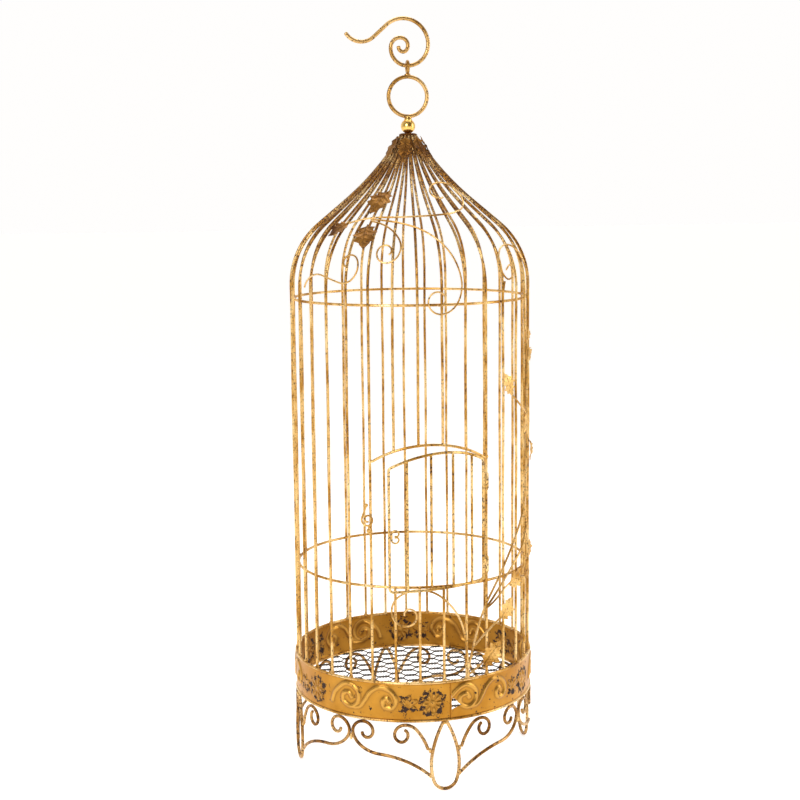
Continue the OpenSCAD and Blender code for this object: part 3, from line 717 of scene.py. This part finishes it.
def trail(a, v, heading, bends, lift, step=2.0 * mm, mirror=False, turn_to=0.0):
    """Points of a wire bent on the cage's skin. Bend sizes are in mm, left turns positive."""
    h = math.radians(heading)
    places = [(a, v)]
    for bend in bends:
        length, first = bend[0] * mm, bend[1] * mm if len(bend) > 1 else None
        last = bend[2] * mm if len(bend) > 2 else first
        tight = min(abs(first or 1), abs(last or 1))
        count = max(2, int(length / min(step, tight * 0.3)))
        ds = length / count
        for k in range(count):
            curl = 0.0 if first is None else 1 / (first + (last - first) * (k + 0.5) / count)
            mid = h + curl * ds / 2
            a += math.degrees(math.cos(mid) * ds / (skin(v)[0] + lift))
            v += math.sin(mid) * ds
            h += curl * ds
            places.append((a, v))
    hand = -1 if mirror else 1
    return [skin_point(hand * place + turn_to, up_bar, lift) for place, up_bar in places]


def turned(points, degrees):
    """Points turned about Z."""
    x, y, z = np.asarray(points, float).T
    c, s = math.cos(math.radians(degrees)), math.sin(math.radians(degrees))
    return np.stack([c * x - s * y, s * x + c * y, z], 1)


def ajar(points):
    """Turns the shut door's points to where the door stands."""
    return turned(np.asarray(points) - hinge_line, door_ajar) + hinge_line


arch_a = math.asin((door_half_w - door_corner) / (door_arch_r - door_corner))
top_turn = math.pi / 2 - arch_a
arch_centre_z = door_rail_z + door_side_h + door_rise - door_arch_r
corner_rise = (door_arch_r - door_corner) * math.cos(arch_a)
stile_h = arch_centre_z - door_rail_z + corner_rise - door_corner
rail = (door_half_w - door_corner) / mm
corner = (door_corner * math.pi / 2 / mm, door_corner / mm)
top_corner = (door_corner * top_turn / mm, door_corner / mm)
stile = (stile_h / mm,)
arch = (2 * arch_a * door_arch_r / mm, door_arch_r / mm)
outline_bends = [
    (rail,), corner, stile, top_corner, arch, top_corner, stile, corner, (rail,),
]
outline = trail(0, door_rail_z, 0, outline_bends, door_out, 3 * mm)[:-1]
outline_wire = tube(ajar(outline), bar_d / 2, closed=True)
piece("door_outline_wire", outline_wire, "door_gold", door_gold, "door_frame", body="door")
wire_end = 1.4 * mm
door_wires = []
for a in cut_angles:
    x = math.radians(abs(a)) * door_r
    head = arch_centre_z + math.sqrt(door_arch_r**2 - x**2) - wire_end
    foot = door_rail_z + wire_end
    wire = [skin_point(a, z, door_out) for z in np.linspace(foot, head, 12)]
    door_wires.append(tube(ajar(wire), bar_d / 2 - 0.1 * mm))
piece("door_upright_wires", joined(door_wires), "door_gold", door_gold, "door_bars", body="door")


def flat_bend(pieces, step=0.9 * mm):
    """Points of a flat wire in the X-Z plane, heading +X at first. Arcs are (radius, degrees)."""
    x = z = h = 0.0
    points = [(0.0, 0.0, 0.0)]
    for r, amount in pieces:
        length = amount * mm if r == 0 else abs(r) * mm * math.radians(amount)
        count = max(3, int(length / min(step, abs(r) * mm * 0.2 if r else step)))
        for _ in range(count):
            ds = length / count
            curl = 0.0 if r == 0 else ds / (r * mm)
            x += math.cos(h + curl / 2) * ds
            z += math.sin(h + curl / 2) * ds
            h += curl
            points.append((x, 0.0, z))
    return np.array(points)


def swung(points, degrees):
    """Points turned in the X-Z plane about the origin, X towards Z."""
    return turned(np.asarray(points)[:, [0, 2, 1]], degrees)[:, [0, 2, 1]]


def against(points, a, z, out):
    """Puts points of the X-Z plane, facing -Y, flat against the cage at angle a."""
    return turned(np.asarray(points) + [0, -cage_r - out, z], a)


# The catch is a small C of thinner wire with curled ends, brazed to the free stile.
catch_d = 2.6 * mm
catch_half = swung(flat_bend([(0, 4), (-5.0, 175), (-3.4, 130)]), 90)
catch_low = catch_half * np.array([1, 1, -1])
catch_path = np.concatenate([catch_half[::-1], catch_low[1:]])
catch_path = catch_path + np.array([(bar_d + catch_d) / 2, 0, 0])
catch_z = door_rail_z + 79 * mm
catch = tube(ajar(against(catch_path, -stile_a, catch_z, door_out)), catch_d / 2)
piece("door_catch_wire", catch, "door_gold", door_gold, "door_catch", body="door")

# Each hinge is a strip of sheet rolled round the jamb bar, with a tab brazed to the stile.
sleeve_len = 23 * mm
sleeve_inner = bar_d / 2 + 0.08 * mm
sleeve_outer = sleeve_inner + 1.1 * mm


def lathe(profile, count=40):
    """A turned shape about Z from points (radius, height)."""
    angle = 2 * math.pi * np.arange(count) / count
    vertices = np.concatenate(
        [np.stack([r * np.cos(angle), r * np.sin(angle), np.full(count, z)], 1) for r, z in profile]
    )
    i, k = np.meshgrid(np.arange(len(profile) - 1), np.arange(count), indexing="ij")
    a, m = i * count, (k + 1) % count
    faces = np.stack([a + k, a + m, a + count + m, a + count + k], -1).reshape(-1, 4).tolist()
    return vertices, faces


def plate(corners, thickness):
    """A flat strip through pairs of edge points, with thickness along its own normal."""
    c = np.asarray(corners, float)
    n = len(c) // 2
    normal = np.cross(c[1] - c[0], c[2] - c[0])
    normal *= thickness / 2 / np.linalg.norm(normal)
    vertices = np.concatenate([c + normal, c - normal])
    m = len(c)
    faces = []
    for i in range(n - 1):
        a = 2 * i
        faces += [(a, a + 1, a + 3, a + 2), (m + a, m + a + 2, m + a + 3, m + a + 1)]
        faces += [(a, a + 2, m + a + 2, m + a), (a + 1, m + a + 1, m + a + 3, a + 3)]
    faces += [(0, m, m + 1, 1), (m - 2, m - 1, 2 * m - 1, 2 * m - 2)]
    return vertices, faces


sleeve_bevel = 0.4 * mm
bevel_r, bevel_z = sleeve_outer - sleeve_bevel, sleeve_len - sleeve_bevel
sleeve_profile = [
    (sleeve_inner, 0), (bevel_r, 0), (sleeve_outer, sleeve_bevel), (sleeve_outer, bevel_z),
    (bevel_r, sleeve_len), (sleeve_inner, sleeve_len), (sleeve_inner, 0),
]
sleeve_middles = (20 * mm, 142 * mm)
tab_h = 10 * mm
tab_out = 0.3 * mm
lap_end = 1 * mm
hinge_shapes = []
for middle, tab_low in zip(sleeve_middles, (11.5 * mm, 1.5 * mm)):
    low = door_rail_z + middle - sleeve_len / 2
    vertices, faces = lathe(sleeve_profile)
    vertices = vertices + hinge_line + np.array([0, 0, low])
    hinge_shapes.append((ajar(vertices), faces))
    tab = []
    for t in np.linspace(0, 1, 6):
        a = jamb_a - math.degrees((2.4 * mm + t * 5.6 * mm) / cage_r)
        lift = tab_out + 0.8 * mm * math.sin(math.pi * t)
        tab += [skin_point(a, low + tab_low + h, lift) for h in (0, tab_h)]
    vertices, faces = plate(tab, 1.3 * mm)
    hinge_shapes.append((ajar(vertices), faces))
    lap_heights = np.linspace(low + lap_end, low + sleeve_len - lap_end, 6)
    lap = [skin_point(jamb_a + 0.25, z, sleeve_outer) for z in lap_heights]
    hinge_shapes.append(tube(ajar(lap), 0.35 * mm, 6))
sleeves = joined(hinge_shapes)
piece("hinge_sleeve_sheets", sleeves, "door_gold", door_gold, "hinge_sleeves", body="door")


# ---- Latch ----
# A scroll of thin wire turns on a stud brazed to the left jamb: an eye on the stud, a
# spiral over it and an arm that ends in a small ball to push with a finger.

latch_d = 3 * mm
latch_z = door_rail_z + 77 * mm
latch_out = bar_d / 2 + 0.6 * mm + 1 * mm + latch_d / 2
latch_gold = antique_gold(
    "antique_gold_latch", (0.66, 0.36, 0.07), (0.96, 0.70, 0.34), (0.06, 0.025, 0.01), 0.52, 400
)
stud_eye_r = 1.5 * mm + latch_d / 2 + 0.1 * mm
eye_path = circle(stud_eye_r, 0, 27)[:, [1, 2, 0]] * [-1, 1, 1]
knob = np.array([-4.4 * mm, 0, 37 * mm])
arm = swung(flat_bend([(0, 20), (8, 235), (5.3, 170), (3.2, 90)]), 250) + knob
knob_r = 2.7 * mm
pole_r = 0.001 * mm
knob_profile = [
    (knob_r * math.sin(t) + pole_r, -knob_r * math.cos(t)) for t in np.linspace(0, math.pi, 17)
]
knob_points, knob_faces = lathe(knob_profile, 24)
neck = [(-0.6 * mm, 0, 2.9 * mm), (-1.9 * mm, 0, 7.6 * mm)]


def on_jamb(points, out):
    """Puts points of the X-Z plane against the latch jamb."""
    return against(points, -jamb_a, latch_z, out)


latch_shapes = [
    tube(on_jamb(eye_path, latch_out), latch_d / 2 - 0.05 * mm, closed=True),
    tube(on_jamb(arm, latch_out), latch_d / 2 - 0.05 * mm),
    (on_jamb(knob_points + knob, latch_out), knob_faces),
    tube(on_jamb(neck, latch_out), 1.3 * mm),
]
piece("latch_scroll_wire", joined(latch_shapes), "latch_gold", latch_gold, "latch", body="latch")
stud_reach = latch_out + latch_d / 2 + 0.6 * mm
stud_head = [(2.7, 0), (2.75, 0.5), (2.3, 1.1), (1.2, 1.4), (0.01, 1.45)]
stud_profile = [(1.45 * mm, 1.8 * mm), (1.45 * mm, stud_reach)]
stud_profile += [(r * mm, stud_reach + h * mm) for r, h in stud_head]
stud_points, stud_faces = lathe(stud_profile, 24)
stud_points = np.stack([stud_points[:, 0], -stud_points[:, 2], stud_points[:, 1]], 1)
stud_shape = (on_jamb(stud_points, 0), stud_faces)
piece("latch_stud_rivet", stud_shape, "latch_gold", latch_gold, "latch_stud")


# ---- Feet ----
# Each foot is a teardrop loop of thicker wire under the bottom rim. A C scroll springs
# from each flank, and longer braces reach down to the loops from the middle of each side.

foot_d = 5 * mm
foot_w = 40
foot_out = rim_r - cage_r
leg_h = 104.5 * mm
foot_gold = antique_gold(
    "antique_gold_foot", (0.38, 0.17, 0.026), (0.90, 0.62, 0.29), (0.045, 0.015, 0.003), 0.55, 300
)
toe_turn, belly_turn = 73, 26
toe_r, belly_r = foot_w * 0.45, foot_w * 2.15
toe_end = math.radians(toe_turn)
flank_turn = math.radians(toe_turn + belly_turn)
belly_x = toe_r * math.sin(toe_end) + belly_r * (math.sin(flank_turn) - math.sin(toe_end))
belly_z = toe_r * (1 - math.cos(toe_end)) + belly_r * (math.cos(toe_end) - math.cos(flank_turn))
foot_room = (leg_h - foot_d) / mm - belly_z
inward_lean = math.degrees(math.atan((belly_x - foot_d / mm * 0.62) / foot_room))
neck_turn = 2 * (90 + inward_lean - toe_turn - belly_turn)
neck_end = flank_turn + math.radians(neck_turn)
neck_r = (foot_room + 1.4) / (math.cos(flank_turn) - math.cos(neck_end))
loop_bends = [(toe_r, toe_turn), (belly_r, belly_turn), (neck_r, neck_turn)]
half_loop = flat_bend(loop_bends, 2.5 * mm)
loop_path = np.concatenate([(half_loop * np.array([-1, 1, 1]))[:0:-1], half_loop])
flank_a = math.degrees((foot_w / 2 + 3.5) * mm / rim_r)
brace_bends = [(79, -118), (63, 80, 9.4), (71, 21.4, 6)]
scroll_bends = [(33, -88), (65, -23.4, -7.2), (19, -14, -6)]
for i in range(4):
    a = pitch / 2 + 90 * i
    node = f"foot_loop_{i + 1}"
    loop = tube(against(loop_path, a, foot_d / 2, foot_out), foot_d / 2, 14)
    piece(f"foot_loop_wire_{i + 1}", loop, "foot_gold", foot_gold, node)
scrolls, braces = [], []
for i in range(4):
    a = pitch / 2 + 90 * i
    for hand in (False, True):
        start = flank_a + math.degrees(2 * mm / rim_r)
        scroll = trail(start, 64 * mm, 72, scroll_bends, foot_out, 2.5 * mm, hand, a)
        brace = trail(flank_a, 24.5 * mm, 42, brace_bends, foot_out, 2.5 * mm, hand, a)
        scrolls.append(tube(scroll, foot_d / 2 - 0.1 * mm, 14))
        braces.append(tube(brace, foot_d / 2 - 0.1 * mm, 14))
piece("foot_scroll_wires", joined(scrolls), "foot_gold", foot_gold, "foot_scrolls")
piece("foot_brace_wires", joined(braces), "foot_gold", foot_gold, "foot_braces")


# ---- Beads of braze ----
# Small lumps of brass solder join each bar to the rim and hoops, the feet to the rim and
# the scrolls to the loops. They are lumpy, a little wider than the wire, and painted over.


def lump(centre, radius, seed, squash=(1.0, 1.0, 1.0)):
    """A lumpy bead: a ball whose surface is pushed in and out a little."""
    rows, count = 8, 10
    points = []
    for i in range(rows + 1):
        t = math.pi * i / rows
        for k in range(count):
            p = 2 * math.pi * k / count
            bulge = 1 + 0.12 * math.sin(3 * p + seed) * math.sin(2 * t + seed * 0.7)
            points.append((
                centre[0] + radius * squash[0] * bulge * math.sin(t) * math.cos(p),
                centre[1] + radius * squash[1] * bulge * math.sin(t) * math.sin(p),
                centre[2] + radius * squash[2] * bulge * math.cos(t),
            ))
    faces = []
    for i in range(rows):
        for k in range(count):
            a, m = i * count + k, i * count + (k + 1) % count
            faces.append((a, a + count, m + count, m))
    return np.array(points), faces


hoop_out = -2 * mm
flat_bead = (1, 1, 0.8)
loop_joints = ((22.3, 24), (22.4, 62))
beads = []
for i in range(bar_count):
    under_door = i >= full_bars
    a = jamb_a + pitch * i - (360 if under_door else 0)
    beads.append(lump(skin_point(a, rim_z + 2.4 * mm, 0.4 * mm), 3.3 * mm, i, (1, 1, 0.75)))
    beads.append(lump(skin_point(a, dome_hoop_z, hoop_out), 2.6 * mm, i + 50, flat_bead))
    beads.append(lump(skin_point(a, mid_hoop_z, hoop_out), 2.5 * mm, i + 90, flat_bead))
    if under_door:
        on_arch = skin_point(a, opening_z(a) + 1.2 * mm)
        beads.append(lump(on_arch, 2.8 * mm, i + 130, flat_bead))
for side in (-1, 1):
    beads.append(lump(skin_point(side * jamb_a, opening_z(arch_end_a)), 3.0 * mm, side + 7))
beads.append(lump(skin_point(-jamb_a, latch_z, 1.2 * mm), 2.7 * mm, 3))
stop_r = 2.3 * mm
for middle in sleeve_middles:
    z = door_rail_z + middle - sleeve_len / 2 - 1.0 * mm
    stop_ring = circle(stop_r, z, 20)[:, [1, 0, 2]] * [-1, 1, 1]
    beads.append(tube(stop_ring + hinge_line, 0.75 * mm, 8, closed=True))
for i in range(4):
    a = pitch / 2 + 90 * i
    beads.append(lump(skin_point(a, leg_h - 1.5 * mm, foot_out), 3.6 * mm, i + 11, (1.3, 1.3, 0.8)))
    for side in (-1, 1):
        for reach_mm, z in loop_joints:
            place = a + side * math.degrees(reach_mm * mm / rim_r)
            on_loop = skin_point(place, z * mm, foot_out)
            beads.append(lump(on_loop, 2.9 * mm, i + z, (0.8, 0.8, 1.3)))
        between = skin_point(a + side * 45, 76 * mm, foot_out)
        beads.append(lump(between, 2.7 * mm, i, (0.9, 0.9, 1.8)))
piece("braze_beads", joined(beads), "antique_gold", wire_gold)


# ---- Crown, ball, ring and hook ----
# The bars meet under a dark cap. A turned brass ball stands on it, and a ring of thick
# wire lies in the ball's neck. An eye brazed on the ring carries the big scrolled hook.

cap_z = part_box("crown_hub")[1][2] - 3.6 * mm
cap_r = crown_r + 1.5 * mm
cap_bronze = antique_gold(
    "dark_bronze_cap", (0.17, 0.065, 0.012), (0.42, 0.22, 0.05), (0.030, 0.013, 0.006),
    0.52, 300, 0.40,
)
cap_stem = [(0.1, -22), (8.6, -22), (9, -21), (9, -1)]
cap_rim = [(0.6, 0), (0, 0.6), (0.1, 1.6), (1.6, 2.6), (3.4, 3.2)]
cap_profile = [(r * mm, cap_z + h * mm) for r, h in cap_stem]
cap_profile += [(cap_r - inset * mm, cap_z + h * mm) for inset, h in cap_rim]
cap_profile.append((0.1 * mm, cap_z + 3.6 * mm))
piece("crown_cap", lathe(cap_profile, 56), "dark_bronze", cap_bronze, "crown_hub")

ball_r = 10.7 * mm
ball_neck_h = 3.8 * mm
ball_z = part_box("finial_ball")[1][2] - ball_r - ball_neck_h
f = Finish("bright_brass_ball")
cloud = f.noise(90, 4)
fine = f.noise(900, 3)
scuff = f.ramp(f.noise(420, 5, 0.7), (0.34, 1.0), (0.42, 0.0))
brass = f.mix(cloud, (0.80, 0.46, 0.10), (0.95, 0.66, 0.22))
ball_gold = f.finish(
    Base_Color=f.mix(scuff, brass, (0.20, 0.09, 0.02)),
    Metallic=1.0,
    Roughness=0.20 + fine * 0.10 + scuff * 0.25,
    Normal=f.bump(fine * 0.2 - scuff * 0.6, 0.15 * mm),
)
ball_neck_r = 5.3 * mm
ball_turns = np.linspace(0.42, math.pi - 0.56, 30)
ball_profile = [(0.1 * mm, ball_z - ball_r * math.cos(ball_turns[0]))]
ball_profile += [(ball_r * math.sin(t), ball_z - ball_r * math.cos(t)) for t in ball_turns]
ball_collar = [(0.5, -1.2), (0.7, -0.6), (0, 0), (0, 2.6), (-0.5, 3.4), (-1.6, 3.7)]
ball_profile += [
    (ball_neck_r + wider * mm, ball_z + ball_r + h * mm) for wider, h in ball_collar
]
ball_profile.append((0.1 * mm, ball_z + ball_r + ball_neck_h))
piece("finial_ball_turned", lathe(ball_profile, 56), "ball_gold", ball_gold, "finial_ball")

ring_low, ring_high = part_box("hanging_ring")
ring_z = (ring_low[2] + ring_high[2]) / 2
ring_r = 28.7 * mm
ring_wire_r = 2.9 * mm
ring_gold = antique_gold(
    "antique_gold_ring", (0.48, 0.25, 0.05), (0.90, 0.62, 0.28), (0.05, 0.02, 0.008), 0.52, 330
)
ring_path = circle(ring_r, 0, 96)[:, [0, 2, 1]] + [0, 0, ring_z]
ring = tube(ring_path, ring_wire_r, 16, closed=True)
piece("hanging_ring_wire", ring, "ring_gold", ring_gold, "hanging_ring")
eye_low, eye_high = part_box("ring_eye")
eye_z = (eye_low[2] + eye_high[2]) / 2
eye_r = (eye_high[2] - eye_low[2]) / 2 - 2.3 * mm
eye_path = circle(eye_r, 0, 48)[:, [2, 0, 1]] + [0, 0, eye_z]
eye_bead = lump((0, 0, eye_low[2] - 0.2 * mm), 3.2 * mm, 5, (1.4, 0.9, 0.7))
eye_shapes = [tube(eye_path, 2.25 * mm, 14, closed=True), eye_bead]
piece("ring_eye_wire", joined(eye_shapes), "ring_gold", ring_gold, "ring_eye")
hook_joint = 2  # hook_swing
hook_pivot = frame["joints"][hook_joint]["pos_m"][2]
crook = flat_bend([(31, 90), (37, 132), (0, 26), (-27, 98)], 2 * mm)
spiral = flat_bend([(24.7, 98), (14.2, 85), (11.2, 120), (6.6, 150)], 2 * mm) * np.array([-1, 1, 1])
hook_path = np.concatenate([spiral[:0:-1], crook]) + np.array([0, 0, hook_pivot])
hook_wire = tube(hook_path, ring_wire_r, 16)
piece("scrolled_hook_wire", hook_wire, "ring_gold", ring_gold, "hook", body="hook")


# ---- Leaves ----
# Oak-like leaves pressed from thin sheet: lobed, cupped, with a raised midrib and side
# veins. They are brazed by their stalks to the crown, the dome curls and the vine.

leaf_bronze = antique_gold(
    "leaf_bronze", (0.16, 0.060, 0.010), (0.42, 0.20, 0.04), (0.040, 0.014, 0.004), 0.50, 420, 0.38
)
leaf_outline = [
    (0.00, 0.03), (0.06, 0.04), (0.12, 0.17), (0.20, 0.33), (0.24, 0.26), (0.30, 0.25),
    (0.40, 0.42), (0.46, 0.44), (0.50, 0.30), (0.56, 0.28), (0.64, 0.38), (0.68, 0.36),
    (0.72, 0.20), (0.80, 0.18), (0.86, 0.12), (1.0, 0.005),
]
leaf_along, leaf_wide = zip(*leaf_outline)
leaf_sheet = 0.5 * mm


def leaf(a, v, heading, length, lift, wide=1.0, curl=0.10, cup=0.16):
    """A leaf growing from a place on the skin: a cupped sheet with veins."""
    along, rise, out = skin_axes(a, v)
    h = math.radians(heading)
    y_way = math.cos(h) * along + math.sin(h) * rise
    x_way = np.cross(y_way, out)
    root = skin_point(a, v, lift)
    rows, columns = 40, 24
    t, u = np.meshgrid(np.linspace(0, 1, rows + 1), np.linspace(-1, 1, columns + 1), indexing="ij")
    width = np.interp(t, leaf_along, leaf_wide) * wide
    x = u * width
    side_vein = np.abs(np.mod((t - 0.55 * np.abs(x)) * 6.0, 1.0) - 0.5)
    vein = 0.030 * np.exp(-((x / 0.025) ** 2)) * (1 - t * 0.6)
    vein = vein + 0.016 * np.exp(-((side_vein / 0.09) ** 2))
    z = cup * x**2 * 2 + curl * np.sin(t * math.pi * 0.9) * 0.6 - 0.06 * t + vein
    z += 0.018 * np.sin(t * 17 + a) * np.abs(u)
    top = root + length * (x[..., None] * x_way + t[..., None] * y_way + z[..., None] * out)
    top = top.reshape(-1, 3)
    vertices = np.concatenate([top, top - leaf_sheet * out])
    n, m = len(top), columns + 1
    faces = []
    for i in range(rows):
        for k in range(columns):
            p = i * m + k
            faces.append((p, p + 1, p + m + 1, p + m))
            faces.append((n + p, n + p + m, n + p + m + 1, n + p + 1))
    for i in range(rows):
        p, q = i * m, i * m + columns
        faces.append((p, p + m, n + p + m, n + p))
        faces.append((q, n + q, n + q + m, q + m))
    for k in range(columns):
        p, q = k, rows * m + k
        faces.append((p, n + p, n + p + 1, p + 1))
        faces.append((q, q + 1, n + q + 1, n + q))
    return vertices, faces


leaf_len = 38 * mm
crown_lift = 4.2 * mm
crown_leaves = 7
crown = []
for i in range(crown_leaves):
    a = -20 + 360 / crown_leaves * i
    crown.append(leaf(a, crown_v - 3 * mm, -90, leaf_len * 1.15, crown_lift, 0.6, 0.03, 0.05))
piece("crown_leaf_sheets", joined(crown), "leaf_bronze", leaf_bronze, "crown_leaves")
dome_lift = 5.4 * mm
dome = [
    leaf(-27.5, shoulder_z + 171 * mm, -111, leaf_len * 1.30, dome_lift, 0.85),
    leaf(-33, shoulder_z + 99 * mm, -79, leaf_len * 1.30, dome_lift, 0.85),
    leaf(-46.7, shoulder_z + 102 * mm, -129, leaf_len * 0.90, dome_lift),
]
piece("dome_leaf_sheets", joined(dome), "leaf_bronze", leaf_bronze, "dome_leaves")


# ---- Curls and vine ----
# Thinner wire bent into curls lies on the outside of the bars, brazed where it crosses
# them: six curls on the dome, a scroll under the door and a fan of stems by the hinge.

vine_gold = antique_gold(
    "antique_gold_vine", (0.60, 0.32, 0.06), (1.0, 0.74, 0.38), (0.05, 0.022, 0.008), 0.52, 400
)
tendril_d = 2.6 * mm
tendril_lift = (bar_d + tendril_d) / 2 + 0.1 * mm
dome_curls = [
    (-50, 100.5, 32, [(60, -107), (93, 752), (104, 98, 10), (70, 33, 7)]),
    (-33, 112, -2, [(60, -165), (110, -104), (68, -60, -18), (78, -19, -7)]),
    (-31.4, 108, -12, [(54, -64), (64, -32, -12), (46, -15, -6)]),
    (-65.3, 3, 63, [(48, -35), (33,), (51, 23), (40, 14, 7)]),
    (38.5, -2.4, 80, [(12, -60)]),
]
curls = [
    tube(trail(a, shoulder_z + rise * mm, heading, bends, tendril_lift), tendril_d / 2, 10)
    for a, rise, heading, bends in dome_curls
]
looped_curl = smooth_line([
    (64.5, -5), (63.4, 19), (61, 41), (55.8, 56), (48.5, 62), (41.4, 56), (37.7, 41),
    (37.4, 30), (39.3, 18), (42.4, 12), (45.9, 16), (46.9, 26), (45.1, 32), (41.4, 25),
], 10)
looped_path = [skin_point(a, shoulder_z + rise * mm, tendril_lift) for a, rise in looped_curl]
curls.append(tube(looped_path, tendril_d / 2, 10))
piece("dome_curl_wires", joined(curls), "vine_gold", vine_gold, "dome_tendrils")

stem_d = 3.2 * mm
stem_lift = (bar_d + stem_d) / 2 + 0.1 * mm
vine_v = rim_z + 3 * mm
sill_bends = [(68, 340), (69, 92, 101), (62, 52, 46), (114, 31, 6)]
sill_scroll = tube(trail(17.2, vine_v, 90, sill_bends, stem_lift), stem_d / 2 - 0.1 * mm)
piece("sill_scroll_wire", sill_scroll, "vine_gold", vine_gold, "sill_scroll")


def stem(corners):
    """A stem laid on the bars through places (angle, mm above the vine's foot)."""
    places = [*smooth_line(corners, 10), corners[-1]]
    return [skin_point(a, vine_v + rise * mm, stem_lift) for a, rise in places]


stem_places = [
    [(16.6, 2), (19.5, 43), (25.6, 97), (34.7, 139), (44.5, 179), (52.5, 210), (58, 240),
     (61, 290), (61.5, 360), (62, 480)],
    [(24.8, 92), (30, 108), (37.7, 131), (45.8, 152), (55, 173), (62.8, 202)],
    [(25.4, 96), (31, 104), (38.7, 120), (44, 127)],
    [(19.7, 44), (25.6, 59), (32.7, 73), (37, 80)],
    [(16.8, 3), (22.2, 13), (26.6, 22)],
    [(61.3, 366), (58, 376), (52.5, 387), (44, 406)],
    [(61.3, 348), (63.5, 338), (67, 325)],
    [(58, 238), (61.5, 206), (64, 179)],
    [(44, 127), (50, 129), (57, 127)],
]
main_stems = 2
vine = []
for i, corners in enumerate(stem_places):
    vine.append(tube(stem(corners), stem_d / 2 * (1 if i < main_stems else 0.85)))
piece("side_vine_stems", joined(vine), "vine_gold", vine_gold, "side_vine")
vine_leaf_gold = antique_gold(
    "vine_leaf_gold", (0.58, 0.29, 0.045), (0.98, 0.68, 0.28), (0.08, 0.028, 0.005), 0.51, 420, 0.34
)
vine_lift = 6.0 * mm
vine_leaf_places = [
    (24.5, 15, 42, 1.20), (35, 77, 45, 1.05), (42, 122, 32, 1.05), (56.5, 127, 5, 0.65),
    (64, 178, -92, 0.80), (43, 406, 117, 0.95), (58, 371, -94, 0.75), (67, 326, -88, 0.80),
    (62, 468, -60, 0.65), (62, 479, 84, 0.50),
]
vine_sheets = joined([
    leaf(a, vine_v + rise * mm, heading, leaf_len * size, vine_lift, 0.9)
    for a, rise, heading, size in vine_leaf_places
])
piece("vine_leaf_sheets", vine_sheets, "leaf_bronze", vine_leaf_gold, "vine_leaves")
